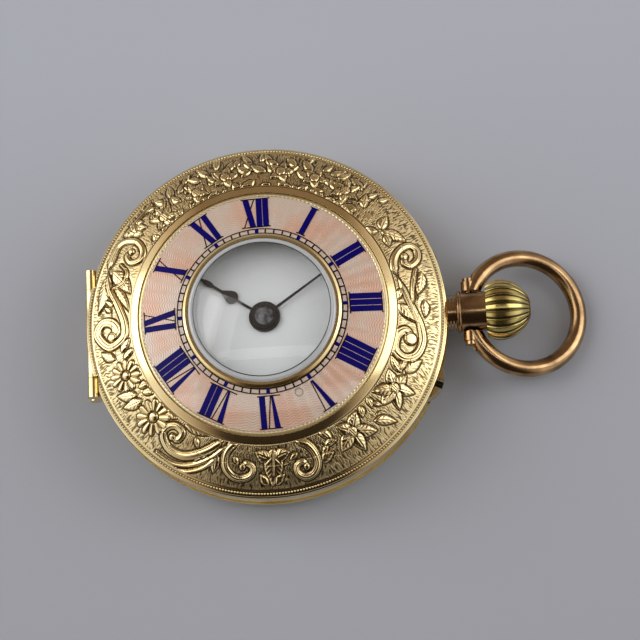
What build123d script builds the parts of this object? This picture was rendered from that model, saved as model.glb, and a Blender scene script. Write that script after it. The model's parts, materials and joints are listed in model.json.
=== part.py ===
from build123d import *

import math
import os

# A lady's half hunter pocket watch in a hinged gold case.
# Millimetres. +X points to the pendant and crown, +Y to XII, +Z out of the dial.
# The origin is the centre of the flat in the middle of the back cover, on which the watch lies.

# Clearances
seat_gap = 0.05
fit_gap = 0.05
pin_gap = 0.03
overrun = 2.0

# Case, built outwards from the movement that it holds
plate_radius = 13.0
band_width = 3.85
rim_overhang = 0.1
band_bottom = 3.3
band_top = 5.3
band_shoulder = 0.45
back_lip_width = 0.95
back_lip_depth = 1.1
front_lip_width = 1.25
front_lip_height = 0.8
sheet_wall = 0.4
back_wall = 0.35
case_bore_radius = plate_radius + fit_gap
band_radius = case_bore_radius + band_width
case_radius = band_radius + rim_overhang
back_lip_radius = case_bore_radius + back_lip_width
front_lip_radius = case_bore_radius + front_lip_width

# Front cover, enamel chapter ring and crystal
rim_side = 0.4
cover_shoulder_inset = 2.4
cover_shoulder_height = 2.05
enamel_width = 4.3
enamel_outer_height = 3.2
window_radius = 7.4
window_height = 4.1
enamel_thickness = 0.2
ring_width = 0.65
ring_flange = 0.2
ring_rise = 0.4
ring_drop = 0.4
crystal_seat = 0.18
crystal_thickness = 0.45
crystal_rise = 0.85
crystal_bevel = 0.52
crystal_bevel_rise = 0.32
crystal_ledge = 0.3
cover_shoulder_radius = case_radius - cover_shoulder_inset
enamel_outer_radius = window_radius + enamel_width
cover_opening_radius = window_radius - ring_flange
ring_inner_radius = window_radius - ring_width
crystal_radius = ring_inner_radius + crystal_seat

# Back cover and cuvette
back_flat_radius = 7.0
back_shoulder_inset = 3.8
back_shoulder_height = 0.75
back_corner_inset = 1.1
back_corner_height = 1.95
cuvette_overlap = 0.35
cuvette_wall = 0.3
cuvette_slope = 1.0
cuvette_gap = 0.7
back_shoulder_radius = case_radius - back_shoulder_inset
back_corner_radius = case_radius - back_corner_inset
cuvette_radius = back_lip_radius + cuvette_overlap
cuvette_flat_radius = plate_radius - cuvette_slope
thumb_piece_width = 2.4
thumb_piece_depth = 0.5

# Hinges at IX
hinge_setback = 0.4
hinge_inset = 0.3
knuckle_radius = 0.55
hinge_pin_radius = 0.25
hinge_length = 12.4
knuckle_length = 8.6
cuvette_hinge_standoff = 0.1
cuvette_hinge_drop = 0.62
cuvette_knuckle_radius = 0.3
cuvette_pin_radius = 0.14
cuvette_hinge_length = 6.4
cuvette_knuckle_length = 3.0
hinge_offset = case_radius - hinge_setback
cuvette_hinge_offset = cuvette_radius + cuvette_hinge_standoff

# Inner bezel and dial glass
bezel_wall = 0.5
bezel_side = 0.9
bezel_shoulder_width = 0.9
bezel_shoulder = 1.35
bezel_seat_inset = 0.75
bezel_crest_width = 0.4
bezel_ledge = 0.5
bezel_crest = 2.1
glass_thickness = 0.35
glass_rise = 0.85
bezel_outer_radius = front_lip_radius + bezel_wall
bezel_shoulder_radius = bezel_outer_radius - bezel_shoulder_width
bezel_glass_radius = case_bore_radius - bezel_seat_inset
bezel_crest_radius = bezel_glass_radius + bezel_crest_width
bezel_opening_radius = bezel_glass_radius - bezel_ledge

# Pendant, bow and crown
axis_height = 4.3
neck_radius = 1.3
neck_ridge_radius = 1.72
neck_ridges = 3
neck_length = 0.9
collar_length = 0.45
collar_radius = 2.02
pendant_radius = 1.85
pendant_length = 4.0
sleeve_bore_radius = 1.25
sleeve_bore_depth = 2.2
stem_bore_radius = 0.6
bow_pivot_distance = 2.05
bow_ring_radius = 5.42
bow_wire_radius = 0.78
bow_side_gap = 0.12
bow_eye_radius = 0.65
bow_lift = 0.02
bow_screw_radius = 0.3
bow_screw_head_radius = 0.5
bow_screw_head = 0.3
bow_screw_depth = 0.5
crown_overlap = 0.35
crown_skirt_radius = 2.4
crown_radius = 2.78
crown_shoulder_length = 1.85
crown_length = 4.15
crown_tip_radius = 0.75
crown_recess_radius = 2.0
crown_flutes = 22
flute_radius = 0.23
collar_start = case_radius + neck_length
pendant_end = case_radius + pendant_length
bow_pivot = case_radius + bow_pivot_distance
crown_start = pendant_end - crown_overlap
crown_widest = crown_start + crown_shoulder_length
crown_end = crown_start + crown_length

# Setting pin and its guard, below the pendant
setting_pin_angle = -23.4
setting_pin_radius = 0.32
setting_pin_standout = 0.62
setting_pin_reach = 0.75
setting_pin_travel = 0.36
guard_half_width = 1.75
guard_height = 1.5
guard_standout = 0.6
guard_slot_gap = 0.12

# Movement plates and bridges
plate_bottom = 4.7
plate_top = 6.1
plate_flange_width = 0.4
plate_flange = 0.4
recess_floor = 5.4
bridge_bottom = 2.6
bridge_top = 3.2
bridge_inset = 0.2
bridge_split = 1.8
bridge_edge = 2.75
bridge_slit = 0.15
foot_radius = 0.85
foot_inset = 1.1
train_foot_headings = (175.0, 222.0, 262.0, 132.0)
barrel_foot_headings = (18.0, 97.0)
screw_head_radius = 0.62
screw_head = 0.4
screw_shank_radius = 0.3
screw_depth = 2.4
screw_slot = 0.14
case_screw_head_radius = 0.8
case_screw_heading = 60.0
plate_flange_radius = plate_radius + plate_flange_width
bridge_radius = plate_radius - bridge_inset
foot_ring = plate_radius - foot_inset
case_screw_ring = plate_radius + 2 * fit_gap
setting_tip = plate_radius - setting_pin_reach

# Train
train_module = 0.14
third_module = 0.12
fourth_module = 0.10
motion_module = 0.14
winding_module = 0.22
barrel_teeth = 80
centre_pinion_teeth = 10
centre_teeth = 64
pinion_teeth = 8
third_teeth = 60
fourth_teeth = 70
escape_pinion_teeth = 7
escape_teeth = 15
escape_radius = 2.0
wheel_thickness = 0.15
arbor_radius = 0.25
pivot_radius = 0.12
pivot_length = 0.3
pivot_gap = 0.04
end_shake = 0.05
barrel_heading = 75.0
third_heading = 195.0
fourth_heading = -60.0
escape_heading = -35.0
pallet_heading = 0.0
balance_heading = 20.0
centre_wheel_level = 3.28
third_pinion_level = 3.25
third_pinion_height = 0.4
third_wheel_level = 3.75
fourth_pinion_level = 3.7
fourth_wheel_level = 4.1
escape_wheel_level = 3.85
escape_pinion_level = 4.05
train_pinion_height = 0.25
centre_arbor_radius = 0.3
centre_arbor_top = 7.35
centre_pinion_level = 4.15
centre_pinion_height = 0.47

# Barrel and winding work
barrel_bottom = 3.55
barrel_top = 4.62
barrel_tooth_step = 0.3
barrel_wall = 0.25
barrel_lid = 0.15
barrel_floor = 0.2
barrel_tooth_height = 0.4
barrel_arbor_radius = 0.6
barrel_hub_radius = 1.2
mainspring_turns = 8
mainspring_steps = 24
mainspring_thickness = 0.09
mainspring_room = 0.2
mainspring_core_gap = 0.15
ratchet_level = 2.15
ratchet_thickness = 0.35
ratchet_teeth = 48
crown_wheel_teeth = 27
contrate_teeth = 26
contrate_inner_radius = 1.85
contrate_outer_radius = 2.35
contrate_height = 0.35
contrate_groove = 0.25
winding_screw_radius = 0.95
winding_screw_head = 0.3
winding_pinion_teeth = 20
winding_pinion_tip = 1.68
winding_pinion_root = 1.4
winding_pinion_start = 8.95
winding_pinion_end = 9.6
stem_radius = 0.45
stem_square = 0.6
stem_pilot_radius = 0.28
stem_square_start = 6.5
stem_pilot_start = 5.4
clutch_radius = 1.1
clutch_groove_radius = 0.72
clutch_start = 7.45
clutch_end = 8.8
clutch_flange = 0.4
clutch_travel = 0.6
clutch_teeth = 12
clutch_tooth_depth = 0.15
click_heading = 15.0
click_radius = 0.55
click_gap = 0.06
click_length = 1.5
click_width = 0.5
barrel_wall_radius = train_module * barrel_teeth / 2 - barrel_tooth_step
mainspring_outer_radius = barrel_wall_radius - barrel_wall - mainspring_room
mainspring_inner_radius = barrel_hub_radius + mainspring_core_gap

# Setting work
setting_teeth = 24
setting_heading = 35.0
minute_heading = -35.0
cannon_teeth = 12
minute_teeth = 36
minute_pinion_teeth = 10
hour_teeth = 40
motion_level = 5.45
motion_thickness = 0.2
cannon_radius = 0.52
hour_pipe_radius = 0.8
hour_wheel_level = 5.78
stud_radius = 0.28
yoke_pivot_x = 6.8
yoke_pivot_y = -7.0
yoke_thickness = 0.25
yoke_width = 0.9
yoke_hub_radius = 0.8
yoke_finger = 0.5
yoke_finger_x = 8.1
yoke_finger_y = -0.95

# Escapement
pallet_distance = 2.4
lever_length = 3.3
lever_width = 0.3
lever_thickness = 0.15
pallet_stone = 0.28
pallet_stone_heading = 30.0
pallet_clearance = 0.22
pallet_bridge_level = 3.38
pallet_bridge_thickness = 0.3
pallet_bridge_width = 1.1
pallet_foot_inset = 1.5
pallet_foot_heading = -72.8
balance_radius = 3.4
balance_rim = 0.42
balance_level = 2.85
balance_thickness = 0.35
balance_arm = 0.5
balance_screws = 14
balance_screw_radius = 0.16
balance_screw_length = 0.22
balance_staff_radius = 0.18
roller_level = 3.4
roller_radius = 0.65
roller_thickness = 0.15
impulse_pin_radius = 0.1
impulse_pin_offset = 0.45
impulse_pin_length = 0.25
collet_radius = 0.35
hairspring_level = 2.62
hairspring_height = 0.12
hairspring_thickness = 0.05
hairspring_turns = 9
hairspring_steps = 20
hairspring_outer_radius = 2.3
hairspring_inner_radius = 0.42
cock_bottom = 1.95
cock_top = 2.5
cock_head_radius = 1.4
cock_width = 2.6
cock_foot_inset = 1.02
cock_foot_sweep = 34.0
cock_screw_head_radius = 0.38
cock_foot_radius = plate_radius - cock_foot_inset
stud_block = 0.45
stud_heading = 20.0
regulator_thickness = 0.18
regulator_ring_radius = 1.05
regulator_length = 2.5
regulator_width = 0.28
regulator_heading = 35.0
setting_ring_radius = 0.7

# Dial and hands
dial_inset = 0.1
dial_bottom = 6.12
dial_top = 6.7
dial_hole_radius = 1.0
dial_foot_radius = 0.35
dial_foot_inset = 2.6
dial_foot_headings = (115.0, 250.0)
dial_radius = plate_radius - dial_inset
dial_foot_ring = plate_radius - dial_foot_inset
hour_hand_level = 6.88
minute_hand_level = 7.14
hand_thickness = 0.1
hour_boss_radius = 1.5
minute_boss_radius = 1.15
hand_boss_height = 0.18
hour_hand_length = 8.2
hour_spade_distance = 3.75
hour_spade_width = 1.3
hour_spade_length = 2.1
hour_leaf_distance = 6.3
hour_leaf_width = 0.55
hour_stem_width = 0.26
minute_hand_length = 9.4
minute_hand_width = 0.3
minute_tip_width = 0.12
hour_hand_angle = 304.5
minute_hand_angle = 56.0

# Shapes of teeth and small features, as shares of the sizes that they follow
root_half_share = 0.27
tip_half_share = 0.12
dedendum_share = 1.25
addendum_share = 0.9
spoke_window_share = 0.24
spoke_ring_share = 0.6
spoke_count = 5
spade_waist_share = 0.45
escape_root_share = 0.78
escape_heel_share = 0.35
dome_crown_share = 0.58

os.makedirs("parts", exist_ok=True)


def keep(node, shape):
    """Write one sub-part to its own file."""
    export_step(shape, f"parts/{node}.step")


def rod(radius, bottom, top, x=0, y=0):
    """An upright cylinder from one level to another."""
    height = top - bottom
    return Pos(x, y, bottom) * Cylinder(radius, height, align=(Align.CENTER, Align.CENTER, Align.MIN))


def tube(outer, inner, bottom, top, x=0, y=0):
    """An upright ring from one level to another."""
    return rod(outer, bottom, top, x, y) - rod(inner, bottom - overrun, top + overrun, x, y)


def block(left, right, front, back, bottom, top):
    """A box given by its six sides."""
    size = (right - left, back - front, top - bottom)
    return Pos(left, front, bottom) * Box(*size, align=(Align.MIN, Align.MIN, Align.MIN))


def prism(points, bottom, top):
    """An upright prism over a closed outline of straight lines."""
    outline = make_face(Polyline(*points, close=True))
    return Pos(0, 0, bottom) * extrude(outline, top - bottom)


def turned(edges):
    """A solid of revolution about Z from the edges of a profile in the XZ plane."""
    return revolve(make_face(edges), Axis.Z)


def at(radius, level):
    """A point of a profile in the XZ plane."""
    return (radius, 0, level)


def line(*points):
    """Straight profile lines through points given as radius and level."""
    return Polyline(*[at(*point) for point in points])


def curve(start, middle, end):
    """A profile arc through three points given as radius and level."""
    return ThreePointArc(at(*start), at(*middle), at(*end))


def cap(radius, edge_level, rise):
    """The arc of a dome from its edge to its crown on the axis."""
    sphere = (radius**2 + rise**2) / (2 * rise)
    half = radius / 2
    middle_level = edge_level + rise - sphere + math.sqrt(sphere**2 - half**2)
    return curve((radius, edge_level), (half, middle_level), (0, edge_level + rise))


def lying(radius, start, end, y=0, level=axis_height):
    """A cylinder lying along X."""
    turn = Pos(start, y, level) * Rot(0, 90, 0)
    return turn * Cylinder(radius, end - start, align=(Align.CENTER, Align.CENTER, Align.MIN))


def crosswise(radius, front, back, x, level):
    """A cylinder lying along Y."""
    turn = Pos(x, front, level) * Rot(-90, 0, 0)
    return turn * Cylinder(radius, back - front, align=(Align.CENTER, Align.CENTER, Align.MIN))


def spot(distance, heading, start=(0, 0)):
    """A place at a distance and a heading in degrees from another place."""
    angle = math.radians(heading)
    return (start[0] + distance * math.cos(angle), start[1] + distance * math.sin(angle))


def heading_of(start, end):
    """The heading in degrees from one place to another."""
    return math.degrees(math.atan2(end[1] - start[1], end[0] - start[0]))


def distance_of(start, end):
    """The distance between two places."""
    return math.hypot(end[0] - start[0], end[1] - start[1])


def gear_points(teeth, module, place, turn):
    """The outline of a toothed wheel with a tooth centred on the heading turn."""
    pitch_radius = module * teeth / 2
    root = pitch_radius - dedendum_share * module
    tip = pitch_radius + addendum_share * module
    pitch_angle = 360 / teeth
    points = []
    for index in range(teeth):
        middle = turn + index * pitch_angle
        points.append(spot(root, middle - root_half_share * pitch_angle, place))
        points.append(spot(tip, middle - tip_half_share * pitch_angle, place))
        points.append(spot(tip, middle + tip_half_share * pitch_angle, place))
        points.append(spot(root, middle + root_half_share * pitch_angle, place))
    return points


def gear(teeth, module, place, turn, bottom, height):
    """A spur wheel or pinion."""
    return prism(gear_points(teeth, module, place, turn), bottom, bottom + height)


def mesh_turn(teeth, turn, next_teeth, heading):
    """The turn of the next wheel whose gap receives the tooth of the wheel before it."""
    return heading + 180 + 180 / next_teeth - (turn - heading) * teeth / next_teeth


def spoked(wheel, radius, place, bottom, height):
    """A wheel with round windows between its spokes."""
    window = spoke_window_share * radius
    for index in range(spoke_count):
        x, y = spot(spoke_ring_share * radius, index * 360 / spoke_count, place)
        wheel -= rod(window, bottom - overrun, bottom + height + overrun, x, y)
    return wheel


def arbor(place, bottom, top):
    """An arbor with a thin pivot at each end."""
    x, y = place
    body = rod(arbor_radius, bottom + end_shake, top - end_shake, x, y)
    return body + rod(pivot_radius, bottom - pivot_length, top + pivot_length, x, y)


def pivot_cut(place, level, direction):
    """The blind hole for a pivot, down or up from a face."""
    depth = direction * (pivot_length + end_shake + pivot_gap)
    low, high = sorted((level - direction * overrun, level + depth))
    return rod(pivot_radius + pivot_gap, low, high, *place)


def spiral(inner, outer, turns, thickness, steps, bottom, height, place, start):
    """A flat spiral spring on its edge."""
    count = turns * steps
    inside = []
    outside = []
    for index in range(count + 1):
        angle = start + index * 360 / steps
        radius = inner + (outer - inner) * index / count
        inside.append(spot(radius, angle, place))
        outside.append(spot(radius + thickness, angle, place))
    return prism(inside + outside[::-1], bottom, bottom + height)


def slotted_screw(place, head_bottom, direction, head_radius, depth):
    """A screw whose head stands at a level and whose shank goes the other way."""
    x, y = place
    head_top = head_bottom + direction * screw_head
    low, high = sorted((head_bottom, head_top))
    shape = rod(head_radius, low, high, x, y)
    low, high = sorted((head_bottom, head_bottom - direction * depth))
    shape += rod(screw_shank_radius, low, high, x, y)
    slot_floor = head_top - direction * screw_slot
    low, high = sorted((slot_floor, head_top + direction * screw_head))
    half = screw_slot / 2
    return shape - block(x - head_radius, x + head_radius, y - half, y + half, low, high)


# Levels that follow the band
front_rim = band_top + seat_gap
back_rim = band_bottom - seat_gap
front_axis = band_top - hinge_inset
back_axis = band_bottom + hinge_inset
chord = hinge_offset - knuckle_radius - fit_gap
half_hinge = hinge_length / 2
half_knuckle = knuckle_length / 2
half_chord = half_hinge + fit_gap
cuvette_axis = band_bottom - cuvette_hinge_drop
lip_bottom = band_bottom - back_lip_depth
cuvette_rim = lip_bottom - seat_gap
cuvette_floor = back_wall + cuvette_gap

# Places of the movement
centre = (0, 0)
barrel_place = spot(train_module * (barrel_teeth + centre_pinion_teeth) / 2, barrel_heading)
third_place = spot(train_module * (centre_teeth + pinion_teeth) / 2, third_heading)
fourth_place = spot(third_module * (third_teeth + pinion_teeth) / 2, fourth_heading, third_place)
escape_reach = fourth_module * (fourth_teeth + escape_pinion_teeth) / 2
escape_place = spot(escape_reach, escape_heading, fourth_place)
pallet_place = spot(pallet_distance, pallet_heading, escape_place)
balance_place = spot(lever_length, balance_heading, pallet_place)
winding_reach = winding_module * (ratchet_teeth + crown_wheel_teeth) / 2
crown_wheel_place = (barrel_place[0] + math.sqrt(winding_reach**2 - barrel_place[1] ** 2), 0)
minute_place = spot(motion_module * (cannon_teeth + minute_teeth) / 2, minute_heading)
setting_place = spot(motion_module * (minute_teeth + setting_teeth) / 2, setting_heading, minute_place)
hour_module = 2 * distance_of(centre, minute_place) / (hour_teeth + minute_pinion_teeth)
click_reach = winding_module * (ratchet_teeth / 2 + 1) + click_gap + click_length
click_place = spot(click_reach, click_heading, barrel_place)
yoke_pivot = (yoke_pivot_x, yoke_pivot_y)
train_bridge_feet = [spot(foot_ring, heading) for heading in train_foot_headings]
barrel_bridge_feet = [spot(foot_ring, heading) for heading in barrel_foot_headings]


# Case middle: the band, its two lips and the fixed knuckles
def case_middle():
    """The ring that carries the covers, the pendant and the movement."""
    low_shoulder = band_bottom + band_shoulder
    high_shoulder = band_top - band_shoulder
    shoulder_radius = band_radius - band_shoulder
    profile = line(
        (case_bore_radius, lip_bottom),
        (back_lip_radius, lip_bottom),
        (back_lip_radius, band_bottom),
        (shoulder_radius, band_bottom),
        (band_radius, low_shoulder),
        (band_radius, high_shoulder),
        (shoulder_radius, band_top),
        (front_lip_radius, band_top),
        (front_lip_radius, band_top + front_lip_height),
        (plate_flange_radius + fit_gap, band_top + front_lip_height),
        (plate_flange_radius + fit_gap, plate_top - plate_flange),
        (case_bore_radius, plate_top - plate_flange),
        (case_bore_radius, lip_bottom),
    )
    body = turned(profile)
    well = knuckle_radius + fit_gap
    left = -case_radius - overrun
    body -= block(left, -chord, -half_chord, half_chord, band_bottom - overrun, back_axis + well)
    body -= block(left, -chord, -half_chord, half_chord, front_axis - well, band_top + overrun)
    web_bottom = back_axis + well - fit_gap
    web_top = front_axis - well + fit_gap
    body -= block(left, -hinge_offset - knuckle_radius, -half_chord, half_chord, web_bottom, web_top)
    for axis_level, floor in ((front_axis, web_bottom), (back_axis, front_axis - well + fit_gap)):
        low, high = sorted((axis_level, floor))
        for front, back in ((-half_hinge, -half_knuckle - fit_gap), (half_knuckle + fit_gap, half_hinge)):
            knuckle = crosswise(knuckle_radius, front, back, -hinge_offset, axis_level)
            knuckle += block(-hinge_offset, -chord + knuckle_radius, front, back, low, high)
            body += knuckle
        body -= crosswise(hinge_pin_radius, -half_chord, half_chord, -hinge_offset, axis_level)
    half_leaf = cuvette_hinge_length / 2
    half_inner = cuvette_knuckle_length / 2 + fit_gap
    for front, back in ((-half_leaf, -half_inner), (half_inner, half_leaf)):
        leaf = crosswise(cuvette_knuckle_radius, front, back, -cuvette_hinge_offset, cuvette_axis)
        reach = cuvette_hinge_offset - cuvette_knuckle_radius
        leaf += block(-cuvette_hinge_offset, -reach, front, back, cuvette_axis, band_bottom)
        body += leaf
    body -= crosswise(cuvette_pin_radius, -half_leaf, half_leaf, -cuvette_hinge_offset, cuvette_axis)
    body -= lying(stem_bore_radius, plate_radius - overrun, case_radius + overrun)
    body -= pin_path(setting_pin_radius + fit_gap, plate_radius - overrun, case_radius + overrun)
    for place in case_screw_places():
        body -= rod(screw_shank_radius, lip_bottom, lip_bottom + screw_head + screw_depth, *place)
        body -= rod(case_screw_head_radius, lip_bottom - overrun, lip_bottom + screw_head, *place)
    return body


def pin_path(radius, start, end, level=axis_height):
    """A cylinder along the setting pin's line, from one distance to another from the centre."""
    turn = Rot(0, 0, setting_pin_angle) * Pos(start, 0, level) * Rot(0, 90, 0)
    return turn * Cylinder(radius, end - start, align=(Align.CENTER, Align.CENTER, Align.MIN))


def case_screw_places():
    """The places of the two screws that hold the movement in the case."""
    return [spot(case_screw_ring, heading) for heading in (case_screw_heading, case_screw_heading + 180)]


def case_screws():
    """The two screws at the edge of the movement."""
    screws = []
    for place in case_screw_places():
        head = lip_bottom + screw_head
        screws.append(slotted_screw(place, head, -1, case_screw_head_radius, screw_depth))
    return Compound(screws)


def hinge_pin(radius, length, offset, level):
    """A plain hinge pin."""
    return crosswise(radius, -length / 2, length / 2, -offset, level)


# Front cover
def hinge_gap(bottom, top):
    """The room that a cover leaves for the case's knuckles, and the flat over its own."""
    left = -case_radius - overrun
    gap = block(left, -hinge_offset - knuckle_radius, -half_knuckle, half_knuckle, bottom, top)
    for front, back in ((-half_chord, -half_knuckle), (half_knuckle, half_chord)):
        gap += block(left, -chord, front, back, bottom, top)
    return gap


def cover_knuckle(cover, level):
    """A cover with its own knuckle added at the hinge's level and bored for the pin."""
    cover += crosswise(knuckle_radius, -half_knuckle, half_knuckle, -hinge_offset, level)
    return cover - crosswise(hinge_pin_radius + pin_gap, -half_hinge, half_hinge, -hinge_offset, level)


def front_dome(inset, wall):
    """The solid under the front cover's outer or inner surface."""
    rim = case_radius - inset
    side = front_rim + rim_side
    shoulder = (cover_shoulder_radius - inset / 2, front_rim + cover_shoulder_height - wall)
    enamel_edge = (enamel_outer_radius - inset / 3, front_rim + enamel_outer_height - wall)
    window_edge = (window_radius, front_rim + window_height - wall)
    crown_level = enamel_edge[1] + (window_edge[1] - enamel_edge[1]) * dome_crown_share
    quarter = ((enamel_edge[0] + window_edge[0]) / 2, crown_level)
    start = front_rim - inset
    profile = line((0, start), (rim, start), (rim, side))
    profile += curve((rim, side), shoulder, enamel_edge)
    profile += curve(enamel_edge, quarter, window_edge)
    profile += line(window_edge, (0, window_edge[1]), (0, start))
    return turned(profile)


def front_cover():
    """The hinged front cover with the seat of the enamel ring and the window."""
    outer = front_dome(0, 0)
    left = -case_radius - overrun
    top = front_rim + window_height + overrun
    outer -= hinge_gap(0, top)
    inner = front_dome(sheet_wall, sheet_wall)
    inner -= block(left, -chord + sheet_wall, -half_chord - sheet_wall, half_chord + sheet_wall, 0, top)
    body = outer - inner
    body -= rod(cover_opening_radius, 0, top)
    body -= enamel_seat(seat_side=fit_gap, lift=overrun)
    return cover_knuckle(body, front_axis)


def enamel_seat(seat_side, lift):
    """The ring of enamel, or the room for it with a side gap and a lift over its face."""
    outer = enamel_outer_radius + seat_side
    inner = window_radius + fit_gap - seat_side
    ring = front_dome(0, 0) - Pos(0, 0, -enamel_thickness) * front_dome(0, 0)
    if lift:
        ring = Pos(0, 0, lift) * front_dome(0, 0) - Pos(0, 0, -enamel_thickness) * front_dome(0, 0)
    return ring & tube(outer, inner, front_rim + overrun, front_rim + window_height + overrun)


def enamel_ring():
    """The enamel chapter ring in its seat."""
    return enamel_seat(seat_side=0, lift=0)


ring_bottom = front_rim + window_height - ring_drop
ring_top = front_rim + window_height + ring_rise


def cover_glass_ring():
    """The gold ring that holds the crystal in the window."""
    flange_bottom = front_rim + window_height
    flange_top = flange_bottom + (ring_rise + fit_gap) / 2
    seat = crystal_radius + pin_gap
    neck = cover_opening_radius - pin_gap
    profile = line(
        (ring_inner_radius, ring_bottom),
        (neck, ring_bottom),
        (neck, flange_bottom),
        (window_radius, flange_bottom),
        (window_radius, flange_top),
        ((seat + window_radius) / 2, ring_top),
        (seat, ring_top),
        (seat, ring_bottom + crystal_ledge),
        (ring_inner_radius, ring_bottom + crystal_ledge),
        (ring_inner_radius, ring_bottom),
    )
    return turned(profile)


def dome_glass(radius, edge_bottom, thickness, rise):
    """A domed glass with a flat edge."""
    edge_top = edge_bottom + thickness
    inner_radius = radius - thickness
    profile = line((inner_radius, edge_bottom), (radius, edge_bottom), (radius, edge_top))
    profile += cap(radius, edge_top, rise)
    profile += line((0, edge_top + rise), (0, edge_bottom + rise))
    profile += cap(inner_radius, edge_bottom, rise)
    return turned(profile)


def cover_crystal():
    """The small domed crystal of the front cover, with a bevel around its edge."""
    edge_bottom = ring_bottom + crystal_ledge
    edge_top = edge_bottom + crystal_thickness
    bevel_top = edge_top + crystal_bevel_rise
    dome_radius = crystal_radius - crystal_bevel
    inner_radius = crystal_radius - crystal_thickness
    profile = line((inner_radius, edge_bottom), (crystal_radius, edge_bottom))
    profile += line((crystal_radius, edge_bottom), (crystal_radius, edge_top), (dome_radius, bevel_top))
    profile += cap(dome_radius, bevel_top, crystal_rise - crystal_bevel_rise)
    profile += line((0, edge_top + crystal_rise), (0, edge_bottom + crystal_rise))
    profile += cap(inner_radius, edge_bottom, crystal_rise)
    return turned(profile)


# Inner bezel and dial glass
bezel_bottom = band_top + seat_gap
flange_bottom = dial_top + seat_gap
glass_level = bezel_bottom + bezel_crest - glass_thickness


def inner_bezel():
    """The bezel that snaps over the front lip and holds the dial glass."""
    lip_side = front_lip_radius + fit_gap
    lip_top = band_top + front_lip_height + seat_gap
    profile = line(
        (bezel_opening_radius, flange_bottom),
        (case_bore_radius, flange_bottom),
        (case_bore_radius, lip_top),
        (lip_side, lip_top),
        (lip_side, bezel_bottom),
        (bezel_outer_radius, bezel_bottom),
        (bezel_outer_radius, bezel_bottom + bezel_side),
        (bezel_shoulder_radius, bezel_bottom + bezel_shoulder),
        (bezel_crest_radius, bezel_bottom + bezel_crest),
        (bezel_glass_radius, bezel_bottom + bezel_crest),
        (bezel_glass_radius, glass_level),
        (bezel_opening_radius, glass_level),
        (bezel_opening_radius, flange_bottom),
    )
    return turned(profile)


def dial_glass():
    """The large glass over the dial, inside the cover."""
    return dome_glass(bezel_glass_radius - pin_gap, glass_level, glass_thickness, glass_rise)


# Back cover and cuvette
def back_dome(inset, wall):
    """The solid over the back cover's outer or inner surface."""
    rim = case_radius - inset
    side = back_rim - rim_side
    corner = (back_corner_radius - inset, back_corner_height + wall / 2)
    shoulder = (back_shoulder_radius - inset / 2, back_shoulder_height + wall)
    middle = ((back_flat_radius + shoulder[0]) / 2, wall + back_shoulder_height / 5)
    top = back_rim + inset
    profile = line((0, top), (rim, top), (rim, side))
    profile += curve((rim, side), corner, shoulder)
    profile += curve(shoulder, middle, (back_flat_radius, wall))
    profile += line((back_flat_radius, wall), (0, wall), (0, top))
    return turned(profile)


def back_cover():
    """The hinged back cover on which the watch lies."""
    left = -case_radius - overrun
    outer = back_dome(0, 0) - hinge_gap(-overrun, band_top)
    inner = back_dome(back_wall, back_wall)
    side = half_chord + back_wall
    inner -= block(left, -chord + back_wall, -side, side, -overrun, band_top)
    body = cover_knuckle(outer - inner, back_axis)
    return body + thumb_piece(case_radius, back_rim)


def thumb_piece(radius, top):
    """The little lip by which a lid is lifted, across from its hinge and beside the pendant."""
    half = thumb_piece_width / 2
    outer = radius + thumb_piece_depth / 2
    lip = block(radius - thumb_piece_depth, outer, -half, half, top - back_wall, top)
    return Rot(0, 0, -setting_pin_angle) * lip


def cuvette():
    """The inner lid over the movement."""
    rim = cuvette_rim
    floor = cuvette_floor
    inner_radius = cuvette_radius - cuvette_wall
    profile = line(
        (0, floor),
        (cuvette_flat_radius, floor),
        (cuvette_radius - cuvette_wall, rim - cuvette_wall),
        (cuvette_radius, rim - cuvette_wall),
        (cuvette_radius, rim),
        (back_lip_radius - cuvette_wall, rim),
        (cuvette_flat_radius - cuvette_wall / 2, floor + cuvette_wall),
        (0, floor + cuvette_wall),
        (0, floor),
    )
    body = turned(profile)
    reach = cuvette_hinge_offset - cuvette_knuckle_radius
    cut = cuvette_knuckle_radius + fit_gap
    half = cuvette_knuckle_length / 2
    side = cuvette_hinge_length / 2 + fit_gap
    edge = -cuvette_hinge_offset + cut
    body -= block(-case_radius, edge, -side, side, 0, band_bottom)
    left = -cuvette_hinge_offset - cuvette_knuckle_radius
    body += block(left, -inner_radius, -half, half, rim - cuvette_wall, rim)
    body += block(left, -reach, -half, half, rim - cuvette_wall, cuvette_axis)
    body += crosswise(cuvette_knuckle_radius, -half, half, -cuvette_hinge_offset, cuvette_axis)
    hole = cuvette_pin_radius + pin_gap
    return body - crosswise(hole, -half - overrun, half + overrun, -cuvette_hinge_offset, cuvette_axis)


# Pendant, bow, crown and stem
def pendant():
    """The ridged neck, the collar and the body that carries the bow."""
    root = plate_radius + (band_radius - plate_radius) / 2
    body = lying(neck_radius, band_radius - band_shoulder, collar_start)
    step = (collar_start - case_radius) / (2 * neck_ridges)
    for index in range(neck_ridges):
        start = case_radius + (2 * index + 1) * step - step / 2
        body += lying(neck_ridge_radius, start, start + step)
    bead = collar_length / 2
    body += Pos(collar_start + bead, 0, axis_height) * Rot(0, 90, 0) * Torus(collar_radius - bead, bead)
    body += lying(collar_radius - bead, collar_start, collar_start + collar_length)
    body += lying(pendant_radius, collar_start + collar_length, pendant_end)
    body -= rod(band_radius, band_bottom, band_top)
    cover_room = case_radius + fit_gap
    body -= rod(cover_room, 0, band_bottom) + rod(cover_room, band_top, band_top + overrun)
    body -= lying(stem_bore_radius, root, pendant_end + overrun)
    body -= lying(sleeve_bore_radius, pendant_end - sleeve_bore_depth, pendant_end + overrun)
    hole = bow_screw_radius
    return body - crosswise(hole, -collar_radius - overrun, collar_radius + overrun, bow_pivot, axis_height)


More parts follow.
